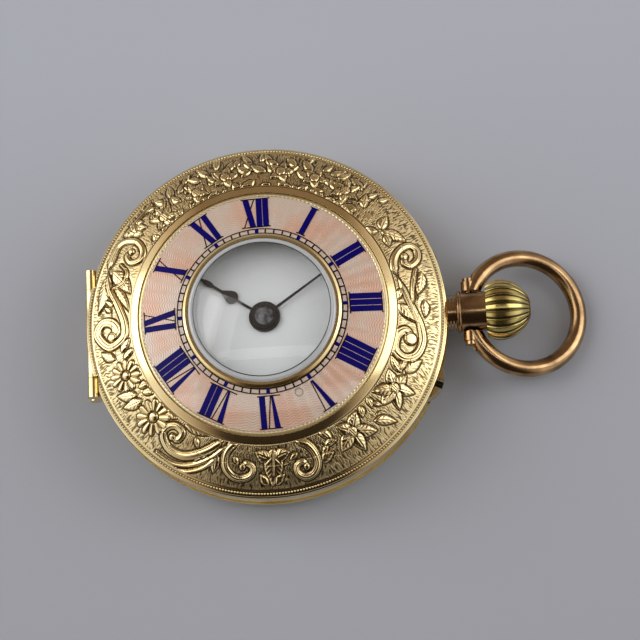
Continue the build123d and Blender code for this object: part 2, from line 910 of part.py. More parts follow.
bow_far = 2 * bow_ring_radius
bow_droop = math.degrees(math.asin((axis_height - bow_wire_radius - bow_lift) / bow_far))
bow_side = pendant_radius + bow_side_gap
bow_outer = bow_ring_radius + bow_wire_radius
bow_eye_end = math.sqrt(bow_outer**2 - bow_ring_radius**2) - bow_screw_head / 2


def drooped(shape):
    """Turn a piece modelled in the level bow about the bow's pivot to where the bow lies."""
    pivot = Pos(bow_pivot, 0, axis_height)
    return pivot * Rot(0, bow_droop, 0) * Pos(-bow_pivot, 0, -axis_height) * shape


def bow():
    """The round bow, open at the pendant."""
    ring = Pos(bow_pivot + bow_ring_radius, 0, axis_height) * Torus(bow_ring_radius, bow_wire_radius)
    low = axis_height - overrun
    high = axis_height + overrun
    ring += crosswise(bow_eye_radius, -bow_eye_end, bow_eye_end, bow_pivot, axis_height)
    ring -= block(bow_pivot - overrun, bow_pivot + bow_ring_radius, -bow_side, bow_side, low, high)
    side = bow_ring_radius + overrun
    ring -= crosswise(bow_screw_radius + pin_gap, -side, side, bow_pivot, axis_height)
    seat = bow_screw_head_radius + fit_gap
    ring -= crosswise(seat, bow_eye_end, side, bow_pivot, axis_height)
    ring -= crosswise(seat, -side, -bow_eye_end, bow_pivot, axis_height)
    return drooped(ring)


def bow_screw(sign):
    """One screw through an end of the bow into the pendant."""
    inner = pendant_radius - bow_screw_depth
    outer = bow_eye_end + fit_gap
    low, high = sorted((sign * inner, sign * outer))
    shape = crosswise(bow_screw_radius, low, high, bow_pivot, axis_height)
    low, high = sorted((sign * outer, sign * (outer + bow_screw_head)))
    shape += crosswise(bow_screw_head_radius, low, high, bow_pivot, axis_height)
    half = screw_slot / 2
    low, high = sorted((sign * (outer + bow_screw_head - screw_slot), sign * (outer + overrun)))
    left = bow_pivot - bow_screw_head_radius
    right = bow_pivot + bow_screw_head_radius
    return shape - block(left, right, low, high, axis_height - half, axis_height + half)


def winding_crown():
    """The fluted onion crown with its sleeve in the pendant."""
    back = (crown_start, crown_skirt_radius)
    widest = (crown_widest, crown_radius)
    shoulder = (crown_end - crown_tip_radius / 2, crown_tip_radius * 2)
    tip = (crown_end, crown_tip_radius)
    side = [at(*point) for point in (back, widest, shoulder, tip)]
    profile = line((crown_start, 0), back)
    profile += Spline(*side)
    profile += line(tip, (crown_end, 0), (crown_start, 0))
    body = Pos(0, 0, axis_height) * revolve(make_face(profile), Axis.X)
    body -= lying(crown_recess_radius, crown_start - overrun, pendant_end + fit_gap)
    for index in range(crown_flutes):
        turn = Pos(0, 0, axis_height) * Rot(index * 360 / crown_flutes, 0, 0)
        body -= turn * crown_flute(back, widest, shoulder)
    sleeve_start = pendant_end - sleeve_bore_depth + fit_gap
    body += lying(sleeve_bore_radius - fit_gap, sleeve_start, pendant_end + fit_gap)
    return body - lying(stem_radius, sleeve_start - overrun, crown_widest)


def crown_flute(back, widest, shoulder):
    """One groove of the crown, a round bar bent over its side."""
    start = (back[0] - flute_radius, 0, back[1])
    middle = (widest[0], 0, widest[1] + flute_radius / 3)
    end = (shoulder[0] + flute_radius, 0, shoulder[1])
    path = ThreePointArc(start, middle, end)
    section = Plane(origin=start, z_dir=path % 0) * Circle(flute_radius)
    return sweep(section, path=path)


def winding_stem():
    """The stem: round in the pendant, square in the clutch, with a pilot at its end."""
    body = lying(stem_radius, clutch_end, crown_widest - fit_gap)
    half = stem_square / 2
    body += block(stem_square_start, clutch_end, -half, half, axis_height - half, axis_height + half)
    return body + lying(stem_pilot_radius, stem_pilot_start, stem_square_start)


def face_teeth(start, end, outer, inner, count, share):
    """A ring of blocks around the stem that make the teeth of a face."""
    ring = None
    width = share * 2 * math.pi * inner / count
    for index in range(count):
        tooth = block(start, end, -width / 2, width / 2, inner, outer)
        tooth = Pos(0, 0, axis_height) * Rot(index * 360 / count, 0, 0) * tooth
        ring = tooth if ring is None else ring + tooth
    return ring


def winding_pinion():
    """The pinion that drives the crown wheel."""
    outline = make_face(Polyline(*pinion_outline(), close=True))
    turn = Pos(winding_pinion_start, 0, axis_height) * Rot(0, 90, 0)
    body = turn * extrude(outline, winding_pinion_end - winding_pinion_start)
    return body - lying(stem_radius + pin_gap, winding_pinion_start - overrun, winding_pinion_end + overrun)


def pinion_outline():
    """The winding pinion's outline, with a gap at the crown wheel."""
    pitch_angle = 360 / winding_pinion_teeth
    points = []
    for index in range(winding_pinion_teeth):
        middle = (index + 1 / 2) * pitch_angle
        half = root_half_share * pitch_angle
        points.append(spot(winding_pinion_root, middle - half))
        points.append(spot(winding_pinion_tip, middle - tip_half_share * pitch_angle))
        points.append(spot(winding_pinion_tip, middle + tip_half_share * pitch_angle))
        points.append(spot(winding_pinion_root, middle + half))
    return points


def clutch():
    """The sliding pinion with its groove for the yoke."""
    body = lying(clutch_radius, clutch_start, clutch_start + clutch_flange)
    body += lying(clutch_groove_radius, clutch_start, clutch_end - clutch_tooth_depth)
    body += lying(clutch_radius, clutch_end - clutch_flange, clutch_end - clutch_tooth_depth)
    inner = clutch_radius / 2 + fit_gap
    start = clutch_end - clutch_tooth_depth
    body += face_teeth(start, clutch_end, clutch_radius - fit_gap, inner, clutch_teeth, 1 / 2)
    half = stem_square / 2 + fit_gap
    top = axis_height + half
    return body - block(clutch_start - overrun, clutch_end + overrun, -half, half, axis_height - half, top)


# Setting pin
def setting_pin():
    """The steel pin that is pressed to set the hands."""
    return pin_path(setting_pin_radius, setting_tip, case_radius + setting_pin_standout)


def setting_pin_guard():
    """The rounded lip, slotted for the pin, that keeps it from being pressed by chance."""
    low = axis_height - guard_height / 2
    high = axis_height + guard_height / 2
    root = math.sqrt(band_radius**2 - guard_half_width**2)
    rise = case_radius + guard_standout - root
    round_radius = (guard_half_width**2 + rise**2) / (2 * rise)
    shape = rod(round_radius, low, high, case_radius + guard_standout - round_radius, 0)
    half_slot = setting_pin_radius + guard_slot_gap
    shape -= block(case_radius, case_radius + overrun, -half_slot, half_slot, low - overrun, high + overrun)
    shape = Rot(0, 0, setting_pin_angle) * shape
    shape -= rod(band_radius, 0, band_top + overrun)
    return shape - pin_path(setting_pin_radius + fit_gap, plate_radius, case_radius + overrun)


# Movement plates
def main_plate():
    """The plate between the dial and the train, with the recess of the motion work."""
    body = rod(plate_radius, plate_bottom, plate_top)
    body += rod(plate_flange_radius, plate_top - plate_flange, plate_top)
    rear = stem_pilot_start + stem_pilot_radius
    block_low = axis_height - 2 * stem_radius
    bearing = winding_pinion_end + pivot_length
    body += block(bearing, plate_radius - overrun / 2, -neck_radius, neck_radius, block_low, plate_bottom)
    left = stem_pilot_start - end_shake
    right = stem_square_start - end_shake
    pilot_low = axis_height - stem_radius
    body += block(left, right, -stem_radius, stem_radius, pilot_low, plate_bottom)
    above = plate_top + overrun
    body -= rod(hour_pipe_radius + 2 * hour_module * hour_teeth / 3, recess_floor, above)
    reach = motion_module * minute_teeth / 2 + motion_module + fit_gap
    body -= rod(reach, recess_floor, above, *minute_place)
    reach = motion_module * setting_teeth / 2 + motion_module + fit_gap
    body -= rod(reach, recess_floor, above, *setting_place)
    clutch_room = clutch_radius + fit_gap
    slot_left = clutch_start - clutch_travel - fit_gap
    body -= block(slot_left, winding_pinion_start, -clutch_room, clutch_room, plate_bottom - overrun, above)
    room = winding_pinion_tip + fit_gap
    left = winding_pinion_start - fit_gap
    right = winding_pinion_end + fit_gap
    body -= block(left, right, -room, room, plate_bottom - overrun, above)
    body -= yoke_room()
    body -= lying(stem_radius + fit_gap, winding_pinion_end, plate_flange_radius + overrun)
    body -= lying(stem_pilot_radius + fit_gap, rear - overrun, stem_square_start)
    body -= rod(centre_arbor_radius + fit_gap, plate_bottom - overrun, above)
    below = plate_bottom - overrun
    body -= rod(barrel_arbor_radius + fit_gap, below, barrel_arbor_top + fit_gap, *barrel_place)
    for place in (third_place, fourth_place, escape_place, pallet_place, balance_place):
        body -= pivot_cut(place, plate_bottom, 1)
    feet = train_bridge_feet + barrel_bridge_feet + [cock_screw_place(), pallet_foot()]
    for place in feet:
        body -= rod(screw_shank_radius, below, bridge_bottom + screw_depth + fit_gap, *place)
    for place in dial_feet():
        body -= rod(dial_foot_radius + pin_gap, plate_bottom - overrun, above, *place)
    for place in case_screw_places():
        body -= rod(screw_shank_radius, 0, lip_bottom + screw_head + screw_depth, *place)
    for place in (minute_place, setting_place):
        body += rod(stud_radius, recess_floor - plate_flange, motion_level + motion_thickness, *place)
    body += rod(stud_radius, recess_floor - plate_flange, motion_level + yoke_thickness, *yoke_pivot)
    pin_end = setting_tip - setting_pin_travel - fit_gap
    return body - pin_path(setting_pin_radius + fit_gap, pin_end, case_radius)


barrel_arbor_top = plate_bottom + pivot_length


def dial_feet():
    """The places of the dial's two feet."""
    return [spot(dial_foot_ring, heading) for heading in dial_foot_headings]


def yoke_shape(bottom, top, grow):
    """The yoke seen from above, grown by a margin, between two levels."""
    finger = (yoke_finger_x, yoke_finger_y - clutch_groove_radius)
    tail = yoke_tail_end()
    shape = rod(yoke_hub_radius + grow, bottom, top, *yoke_pivot)
    for end in (finger, tail):
        length = distance_of(yoke_pivot, end) + grow
        half = yoke_width / 2 + grow
        arm = block(0, length, -half, half, bottom, top)
        shape += Pos(*yoke_pivot, 0) * Rot(0, 0, heading_of(yoke_pivot, end)) * arm
    return shape


def yoke_tail_end():
    """The end of the yoke's tail, just inside the setting pin's tip."""
    return spot(setting_tip - yoke_width / 2 - fit_gap, setting_pin_angle)


def yoke():
    """The rocking yoke that the setting pin turns and that moves the clutch."""
    top = motion_level + yoke_thickness
    shape = yoke_shape(motion_level, top, 0)
    tail = yoke_tail_end()
    shape += rod(yoke_width / 2, axis_height - setting_pin_radius, top, *tail)
    groove = (clutch_start + clutch_flange, clutch_end - clutch_flange)
    left = groove[0] + 2 * fit_gap
    right = groove[1] - 2 * fit_gap
    front = -clutch_groove_radius - yoke_finger
    low = axis_height + clutch_groove_radius / 2
    back = -clutch_groove_radius - fit_gap
    shape += block(left, right, -clutch_radius, back, low, top)
    shape += block(left, right, front - yoke_finger, back, motion_level, top)
    return shape - rod(stud_radius + fit_gap, 0, top + overrun, *yoke_pivot)


def yoke_room():
    """The recess in which the yoke swings."""
    above = plate_top + overrun
    room = yoke_shape(recess_floor, above, yoke_width)
    tail = yoke_tail_end()
    through = yoke_width / 2 + setting_pin_travel + yoke_width / 2
    return room + rod(through, plate_bottom - overrun, above, *tail)


def bridge_disc():
    """The round blank from which the bridges are cut."""
    return rod(bridge_radius, bridge_bottom, bridge_top)


def barrel_bridge():
    """The bridge over the barrel, the centre arbor and the winding work."""
    side = bridge_radius + overrun
    left = -bridge_split + bridge_slit
    body = bridge_disc() & block(left, side, -bridge_edge, side, bridge_bottom, bridge_top)
    for place in barrel_bridge_feet:
        body += rod(foot_radius, bridge_top, plate_bottom, *place)
        body -= rod(screw_shank_radius, 0, plate_top, *place)
    body -= rod(barrel_arbor_radius + fit_gap, 0, plate_top, *barrel_place)
    body -= pivot_cut(centre, bridge_top, -1)
    groove_top = ratchet_level + ratchet_thickness + contrate_height + fit_gap
    inner = contrate_inner_radius - 2 * fit_gap
    outer = contrate_outer_radius + 2 * fit_gap
    body -= tube(outer, inner, 0, groove_top, *crown_wheel_place)
    room = winding_pinion_tip + fit_gap
    left = winding_pinion_start - fit_gap
    right = winding_pinion_end + fit_gap
    body -= block(left, right, -room, room, 0, plate_bottom)
    body -= rod(screw_shank_radius, 0, plate_bottom, *crown_wheel_place)
    body -= rod(screw_shank_radius, 0, plate_bottom, *click_place)
    return body - rod(balance_radius + pallet_clearance, 0, plate_bottom, *balance_place)


def train_bridge():
    """The bridge over the third, fourth and escape wheels."""
    side = bridge_radius + overrun
    left_part = block(-side, -bridge_split, -side, side, bridge_bottom, bridge_top)
    edge = balance_place[0] - balance_radius - pallet_clearance
    low_part = block(-side, edge, -side, -bridge_edge - bridge_slit, bridge_bottom, bridge_top)
    body = bridge_disc() & (left_part + low_part)
    body -= rod(balance_radius + pallet_clearance, 0, plate_bottom, *balance_place)
    for place in train_bridge_feet:
        body += rod(foot_radius, bridge_top, plate_bottom, *place)
        body -= rod(screw_shank_radius, 0, plate_top, *place)
    for place in (third_place, fourth_place, escape_place):
        body -= pivot_cut(place, bridge_top, -1)
    return body


def bridge_screws():
    """The screws at the bridges' feet, the cock's and the pallet bridge's."""
    screws = []
    for place in train_bridge_feet + barrel_bridge_feet:
        screws.append(slotted_screw(place, bridge_bottom, -1, screw_head_radius, screw_depth))
    head = cock_bottom + screw_head
    screws.append(slotted_screw(cock_screw_place(), head, -1, cock_screw_head_radius, screw_depth))
    screws.append(slotted_screw(pallet_foot(), pallet_bridge_level, -1, screw_head_radius, screw_depth / 2))
    return Compound(screws)


def pallet_foot():
    """The foot of the pallet bridge."""
    return spot(plate_radius - pallet_foot_inset, pallet_foot_heading)


def pallet_bridge():
    """The small bridge over the pallet staff."""
    top = pallet_bridge_level + pallet_bridge_thickness
    length = distance_of(pallet_place, pallet_foot())
    half = pallet_bridge_width / 2
    arm = block(0, length, -half, half, pallet_bridge_level, top)
    body = Pos(*pallet_place, 0) * Rot(0, 0, heading_of(pallet_place, pallet_foot())) * arm
    body += rod(half, pallet_bridge_level, top, *pallet_place)
    body += rod(foot_radius, pallet_bridge_level, plate_bottom, *pallet_foot())
    body -= rod(screw_shank_radius, 0, plate_top, *pallet_foot())
    return body - pivot_cut(pallet_place, top, -1)


def cock_heading():
    """The heading of the balance cock from the movement's centre."""
    return heading_of(centre, balance_place)


def cock_screw_place():
    """The screw in the foot of the balance cock."""
    return spot((cock_foot_radius + bridge_radius) / 2, cock_heading())


def balance_cock():
    """The cock over the balance, with its foot outside the rim."""
    inner = distance_of(centre, balance_place)
    arm = block(inner, cock_foot_radius + fit_gap, -cock_width / 2, cock_width / 2, cock_bottom, cock_top)
    foot = tube(bridge_radius, cock_foot_radius, cock_bottom, plate_bottom)
    half = math.radians(cock_foot_sweep / 2)
    far = bridge_radius + overrun
    rise = far * math.tan(half)
    wedge = prism([(0, 0), (far, -rise), (far, rise)], cock_bottom, plate_bottom)
    body = Rot(0, 0, cock_heading()) * (arm + (foot & wedge))
    body += rod(cock_head_radius, cock_bottom, cock_top, *balance_place)
    body += hairspring_stud()
    body -= rod(screw_shank_radius, 0, plate_top, *cock_screw_place())
    body -= rod(cock_screw_head_radius, 0, cock_bottom + screw_head, *cock_screw_place())
    return body - rod(balance_staff_radius + pivot_gap, 0, plate_bottom - screw_head, *balance_place)


def hairspring_stud():
    """The stud that holds the outer end of the hairspring."""
    heading = cock_heading() + stud_heading
    x, y = spot(hairspring_outer_radius + hairspring_thickness + stud_block / 2, heading, balance_place)
    return rod(stud_block / 2, cock_bottom, hairspring_level + hairspring_height, x, y)


def regulator():
    """The index on the cock that sets the rate."""
    low = cock_bottom - regulator_thickness
    body = tube(regulator_ring_radius, setting_ring_radius + fit_gap, low, cock_bottom, *balance_place)
    half = regulator_width / 2
    pointer = block(regulator_ring_radius - half, regulator_length, -half, half, low, cock_bottom)
    return body + Pos(*balance_place, 0) * Rot(0, 0, cock_heading() - regulator_heading) * pointer


def cock_jewel():
    """The setting and jewel in the middle of the balance cock."""
    return rod(setting_ring_radius, cock_bottom - regulator_thickness, cock_bottom, *balance_place)


# Train wheels
def barrel_drum():
    """The toothed drum that holds the mainspring."""
    tooth_low = barrel_top - barrel_tooth_height
    body = gear(barrel_teeth, train_module, barrel_place, barrel_turn, tooth_low, barrel_tooth_height)
    body += rod(barrel_wall_radius, barrel_bottom, barrel_top, *barrel_place)
    inner = barrel_wall_radius - barrel_wall
    body -= rod(inner, barrel_bottom - overrun, barrel_top - barrel_floor, *barrel_place)
    return body - rod(barrel_arbor_radius + fit_gap, 0, plate_top, *barrel_place)


def barrel_lid_disc():
    """The lid pressed into the drum."""
    radius = barrel_wall_radius - barrel_wall
    low = barrel_bottom
    return tube(radius, barrel_arbor_radius + fit_gap, low, low + barrel_lid, *barrel_place)


def barrel_arbor():
    """The arbor on which the drum turns and the spring is wound."""
    low = ratchet_level
    body = rod(barrel_arbor_radius, low, barrel_arbor_top, *barrel_place)
    inner_low = barrel_bottom + barrel_lid + end_shake
    inner_high = barrel_top - barrel_floor - end_shake
    return body + rod(barrel_hub_radius, inner_low, inner_high, *barrel_place)


def mainspring():
    """The coiled spring in the drum."""
    low = barrel_bottom + barrel_lid + end_shake
    height = barrel_top - barrel_floor - end_shake - low
    return spiral(
        mainspring_inner_radius,
        mainspring_outer_radius,
        mainspring_turns,
        mainspring_thickness,
        mainspring_steps,
        low,
        height,
        barrel_place,
        0,
    )


def centre_wheel():
    """The centre wheel with its arbor and pinion."""
    body = gear(centre_teeth, train_module, centre, centre_turn, centre_wheel_level, wheel_thickness)
    body = spoked(body, train_module * centre_teeth / 2, centre, centre_wheel_level, wheel_thickness)
    body += gear(centre_pinion_teeth, train_module, centre, 0, centre_pinion_level, centre_pinion_height)
    body += rod(centre_arbor_radius, bridge_top + end_shake, centre_arbor_top)
    return body + rod(pivot_radius, bridge_top - pivot_length, bridge_top + end_shake)


def third_wheel():
    """The third wheel and pinion."""
    place = third_place
    level = third_wheel_level
    body = gear(third_teeth, third_module, place, third_wheel_turn, level, wheel_thickness)
    body = spoked(body, third_module * third_teeth / 2, place, level, wheel_thickness)
    body += gear(pinion_teeth, train_module, place, third_turn, third_pinion_level, third_pinion_height)
    return body + arbor(third_place, bridge_top, plate_bottom)


def fourth_wheel():
    """The fourth wheel and pinion."""
    place = fourth_place
    level = fourth_wheel_level
    body = gear(fourth_teeth, fourth_module, place, fourth_wheel_turn, level, wheel_thickness)
    body = spoked(body, fourth_module * fourth_teeth / 2, place, level, wheel_thickness)
    body += gear(pinion_teeth, third_module, place, fourth_turn, fourth_pinion_level, train_pinion_height)
    return body + arbor(fourth_place, bridge_top, plate_bottom)


def escape_wheel():
    """The escape wheel with its pointed teeth, and its pinion."""
    points = []
    place = escape_place
    pitch_angle = 360 / escape_teeth
    root = escape_root_share * escape_radius
    for index in range(escape_teeth):
        middle = index * pitch_angle
        points.append(spot(root, middle - escape_heel_share * pitch_angle, place))
        points.append(spot(escape_radius, middle, place))
        points.append(spot(root, middle + tip_half_share * pitch_angle, place))
    body = prism(points, escape_wheel_level, escape_wheel_level + wheel_thickness)
    level = escape_pinion_level
    body += gear(escape_pinion_teeth, fourth_module, place, escape_turn, level, train_pinion_height)
    return body + arbor(place, bridge_top, plate_bottom)


# Turns that bring a tooth of each wheel into a gap of the next
centre_turn = 0
barrel_turn = mesh_turn(centre_pinion_teeth, 0, barrel_teeth, barrel_heading)
third_turn = mesh_turn(centre_teeth, centre_turn, pinion_teeth, third_heading)
third_wheel_turn = 0
fourth_turn = mesh_turn(third_teeth, third_wheel_turn, pinion_teeth, fourth_heading)
fourth_wheel_turn = 0
escape_turn = mesh_turn(fourth_teeth, fourth_wheel_turn, escape_pinion_teeth, escape_heading)
winding_heading = heading_of(barrel_place, crown_wheel_place)
crown_wheel_turn = 0
ratchet_turn = mesh_turn(crown_wheel_teeth, crown_wheel_turn, ratchet_teeth, winding_heading + 180)
cannon_turn = 0
minute_turn = mesh_turn(cannon_teeth, cannon_turn, minute_teeth, minute_heading)
hour_turn = mesh_turn(minute_pinion_teeth, 0, hour_teeth, minute_heading + 180)
setting_turn = mesh_turn(minute_teeth, minute_turn, setting_teeth, setting_heading)


# Winding work
def ratchet_wheel():
    """The ratchet wheel on the barrel arbor."""
    low = ratchet_level
    body = gear(ratchet_teeth, winding_module, barrel_place, ratchet_turn, low, ratchet_thickness)
    return body - rod(barrel_arbor_radius, 0, plate_top, *barrel_place)


def ratchet_screw():
    """The large polished screw that holds the ratchet wheel."""
    return winding_screw(barrel_place, winding_screw_radius)


def winding_screw(place, radius):
    """A broad flat screw head under a winding wheel."""
    low = ratchet_level - winding_screw_head
    x, y = place
    half = screw_slot / 2
    shape = rod(radius, low, ratchet_level, x, y)
    return shape - block(x - radius, x + radius, y - half, y + half, 0, low + screw_slot)


def crown_wheel():
    """The crown wheel: spur teeth for the ratchet wheel, face teeth for the winding pinion."""
    low = ratchet_level
    top = low + ratchet_thickness
    place = crown_wheel_place
    body = gear(crown_wheel_teeth, winding_module, place, crown_wheel_turn, low, ratchet_thickness)
    ring_top = top + contrate_height
    x, y = crown_wheel_place
    body += tube(contrate_outer_radius, contrate_inner_radius, top, ring_top, x, y)
    width = (1 - root_half_share) * 2 * math.pi * contrate_inner_radius / contrate_teeth
    floor = ring_top - contrate_groove
    start = contrate_inner_radius / 2
    end = contrate_outer_radius + overrun
    for index in range(contrate_teeth):
        gap = block(start, end, -width / 2, width / 2, floor, ring_top + overrun)
        body -= Pos(x, y, 0) * Rot(0, 0, (index + 1 / 2) * 360 / contrate_teeth) * gap
    return body - rod(screw_shank_radius + fit_gap, 0, plate_top, x, y)


def crown_wheel_screw():
    """The screw on which the crown wheel turns."""
    x, y = crown_wheel_place
    low = ratchet_level - fit_gap
    shape = winding_screw(crown_wheel_place, winding_screw_radius)
    shape = Pos(0, 0, -fit_gap) * shape
    return shape + rod(screw_shank_radius, low, bridge_top, x, y)


def click():
    """The click that holds the ratchet wheel."""
    top = ratchet_level + ratchet_thickness
    half = click_width / 2
    x, y = click_place
    body = rod(click_radius, ratchet_level, top, x, y)
    heading = click_heading + 180
    nose = block(0, click_length, -half, half, ratchet_level, top)
    body += Pos(x, y, 0) * Rot(0, 0, heading) * nose
    return body - rod(screw_shank_radius + fit_gap, 0, plate_top, x, y)


def click_screw():
    """The screw on which the click turns."""
    x, y = click_place
    low = ratchet_level - fit_gap
    bottom = low - winding_screw_head
    shape = rod(click_radius, bottom, low, x, y)
    half = screw_slot / 2
    shape -= block(x - click_radius, x + click_radius, y - half, y + half, 0, bottom + screw_slot)
    return shape + rod(screw_shank_radius, low, bridge_top, x, y)


# Motion work
def cannon_pinion():
    """The pipe and pinion that carry the minute hand."""
    body = gear(cannon_teeth, motion_module, centre, cannon_turn, motion_level, motion_thickness)
    body += rod(cannon_radius, motion_level, minute_hand_level + hand_thickness)
    return body - rod(centre_arbor_radius, 0, centre_arbor_top + overrun)


def minute_wheel():
    """The minute wheel with its pinion."""
    body = gear(minute_teeth, motion_module, minute_place, minute_turn, motion_level, motion_thickness)
    pinion_level = motion_level + motion_thickness
    height = plate_top - pinion_level - end_shake
    body += gear(minute_pinion_teeth, hour_module, minute_place, 0, pinion_level, height)
    return body - rod(stud_radius + fit_gap, 0, plate_top, *minute_place)


def hour_wheel():
    """The hour wheel and its pipe."""
    body = gear(hour_teeth, hour_module, centre, hour_turn, hour_wheel_level, motion_thickness)
    body += rod(hour_pipe_radius, hour_wheel_level, hour_hand_level + hand_thickness)
    return body - rod(cannon_radius + fit_gap, 0, centre_arbor_top + overrun)


def setting_wheel():
    """The wheel between the clutch and the minute wheel."""
    body = gear(setting_teeth, motion_module, setting_place, setting_turn, motion_level, motion_thickness)
    return body - rod(stud_radius + fit_gap, 0, plate_top, *setting_place)


# Escapement
def pallet_fork():
    """The lever with its two pallets and its staff."""
    low = escape_wheel_level
    top = low + lever_thickness
    half = lever_width / 2
    reach = lever_length - roller_radius + impulse_pin_radius
    lever = block(0, reach, -half, half, low, top)
    start = reach - impulse_pin_length
    lever -= block(start, reach + overrun, -half / 2, half / 2, low - overrun, top + overrun)
    body = Pos(*pallet_place, 0) * Rot(0, 0, heading_of(pallet_place, balance_place)) * lever
    for sign in (-1, 1):
        stone_place = pallet_stone_place(sign)
        length = distance_of(pallet_place, stone_place)
        arm = block(0, length, -half, half, low, top)
        body += Pos(*pallet_place, 0) * Rot(0, 0, heading_of(pallet_place, stone_place)) * arm
        body += rod(pallet_stone / 2 + half / 2, low, top, *stone_place)
    return body + arbor(pallet_place, pallet_bridge_level + pallet_bridge_thickness, plate_bottom)


def pallet_stone_place(sign):
    """The place of a pallet, clear of the escape wheel's points."""
    reach = escape_radius + pallet_clearance + pallet_stone
    toward = heading_of(escape_place, pallet_place)
    return spot(reach, toward + sign * pallet_stone_heading, escape_place)


def balance_wheel():
    """The balance with its rim, arm, timing screws, staff and roller."""
    low = balance_level
    top = low + balance_thickness
    x, y = balance_place
    inner = balance_radius - balance_rim
    body = tube(balance_radius - balance_screw_length, inner, low, top, x, y)
    half = balance_arm / 2
    body += Pos(x, y, 0) * block(-inner - balance_rim / 3, inner + balance_rim / 3, -half, half, low, top)
    middle = (low + top) / 2
    for index in range(balance_screws):
        head = Cylinder(balance_screw_radius, 2 * balance_screw_length)
        place = Rot(0, 0, (index + 1 / 2) * 360 / balance_screws)
        out = balance_radius - balance_screw_length
        body += Pos(x, y, middle) * place * Pos(out, 0, 0) * Rot(0, 90, 0) * head
    body += rod(balance_staff_radius, cock_top - screw_head, plate_bottom - end_shake, x, y)
    body += rod(pivot_radius, plate_bottom - overrun, plate_bottom + pivot_length, x, y)
    body += rod(roller_radius, roller_level, roller_level + roller_thickness, x, y)
    body += rod(collet_radius, hairspring_level, low, x, y)
    pin_x, pin_y = spot(impulse_pin_offset, heading_of(balance_place, pallet_place), balance_place)
    pin_top = roller_level + roller_thickness + impulse_pin_length
    return body + rod(impulse_pin_radius, roller_level, pin_top, pin_x, pin_y)


def hairspring():
    """The flat hairspring between the cock's stud and the balance's collet."""
    start = cock_heading() + stud_heading
    return spiral(
        hairspring_inner_radius,
        hairspring_outer_radius,
        hairspring_turns,
        hairspring_thickness,
        hairspring_steps,
        hairspring_level,
        hairspring_height,
        balance_place,
        start,
    )


# Dial and hands
def dial():
    """The enamel dial on two feet."""
    body = tube(dial_radius, dial_hole_radius, dial_bottom, dial_top)
    for place in dial_feet():
        body += rod(dial_foot_radius, plate_bottom + screw_head, dial_bottom, *place)
    return body


def clock_turn(shape, angle):
    """Turn a hand from +X to its angle, clockwise from XII."""
    return Rot(0, 0, 90 - angle) * shape


def hour_hand():
    """The hour hand on its boss, with a spade and a slender leaf towards its tip."""
    low = hour_hand_level
    top = low + hand_thickness
    half = hour_stem_width / 2
    body = block(0, hour_hand_length, -half, half, low, top)
    leaf_length = hour_hand_length - hour_leaf_distance
    for distance, length, width in (
        (hour_spade_distance, hour_spade_length, hour_spade_width),
        (hour_leaf_distance, leaf_length, hour_leaf_width),
    ):
        side = width / 2
        start = (distance - length / 3, 0)
        end = (distance + length, 0)
        waist = distance + length * spade_waist_share
        edge = Spline(start, (distance, side), (waist, side / 3), end)
        other = Spline(end, (waist, -side / 3), (distance, -side), start)
        body += Pos(0, 0, low) * extrude(make_face(edge + other), hand_thickness)
    body += rod(hour_boss_radius, low, low + hand_boss_height)
    body -= rod(hour_pipe_radius, 0, low + overrun)
    return clock_turn(body, hour_hand_angle)


def minute_hand():
    """The slender minute hand on its boss."""
    low = minute_hand_level
    half = minute_hand_width / 2
    tip = minute_tip_width / 2
    outline = [(0, -half), (minute_hand_length, -tip), (minute_hand_length, tip), (0, half)]
    body = prism(outline, low, low + hand_thickness)
    body += rod(minute_boss_radius, low, low + hand_boss_height)
    body -= rod(cannon_radius, 0, low + overrun)
    return clock_turn(body, minute_hand_angle)


for node_name, maker in {
    "case_middle": case_middle,
    "pendant": pendant,
    "setting_pin_guard": setting_pin_guard,
    "case_screws": case_screws,
    "front_cover": front_cover,
    "enamel_chapter_ring": enamel_ring,
    "cover_glass_ring": cover_glass_ring,
    "cover_crystal": cover_crystal,
    "inner_bezel": inner_bezel,
    "dial_glass": dial_glass,
    "back_cover": back_cover,
    "cuvette": cuvette,
    "bow": bow,
    "winding_crown": winding_crown,
    "winding_stem": winding_stem,
    "winding_pinion": winding_pinion,
    "clutch": clutch,
    "setting_pin": setting_pin,
    "yoke": yoke,
    "main_plate": main_plate,
    "barrel_bridge": barrel_bridge,
    "train_bridge": train_bridge,
    "pallet_bridge": pallet_bridge,
    "balance_cock": balance_cock,
    "bridge_screws": bridge_screws,
    "regulator": regulator,
    "cock_jewel": cock_jewel,
    "barrel_drum": barrel_drum,
    "barrel_lid": barrel_lid_disc,
    "barrel_arbor": barrel_arbor,
    "mainspring": mainspring,
    "ratchet_wheel": ratchet_wheel,
    "ratchet_screw": ratchet_screw,
    "crown_wheel": crown_wheel,
    "crown_wheel_screw": crown_wheel_screw,
    "click": click,
    "click_screw": click_screw,
    "centre_wheel": centre_wheel,
    "third_wheel": third_wheel,
    "fourth_wheel": fourth_wheel,
    "escape_wheel": escape_wheel,
    "pallet_fork": pallet_fork,
    "balance_wheel": balance_wheel,
    "hairspring": hairspring,
    "cannon_pinion": cannon_pinion,
    "minute_wheel": minute_wheel,
    "hour_wheel": hour_wheel,
    "setting_wheel": setting_wheel,
    "dial": dial,
    "hour_hand": hour_hand,
    "minute_hand": minute_hand,
}.items():
    keep(node_name, maker())

keep("front_hinge_pin", hinge_pin(hinge_pin_radius, hinge_length, hinge_offset, front_axis))
keep("back_hinge_pin", hinge_pin(hinge_pin_radius, hinge_length, hinge_offset, back_axis))
keep(
    "cuvette_hinge_pin",
    hinge_pin(cuvette_pin_radius, cuvette_hinge_length, cuvette_hinge_offset, cuvette_axis),
)
keep("bow_screw_upper", bow_screw(1))
keep("bow_screw_lower", bow_screw(-1))
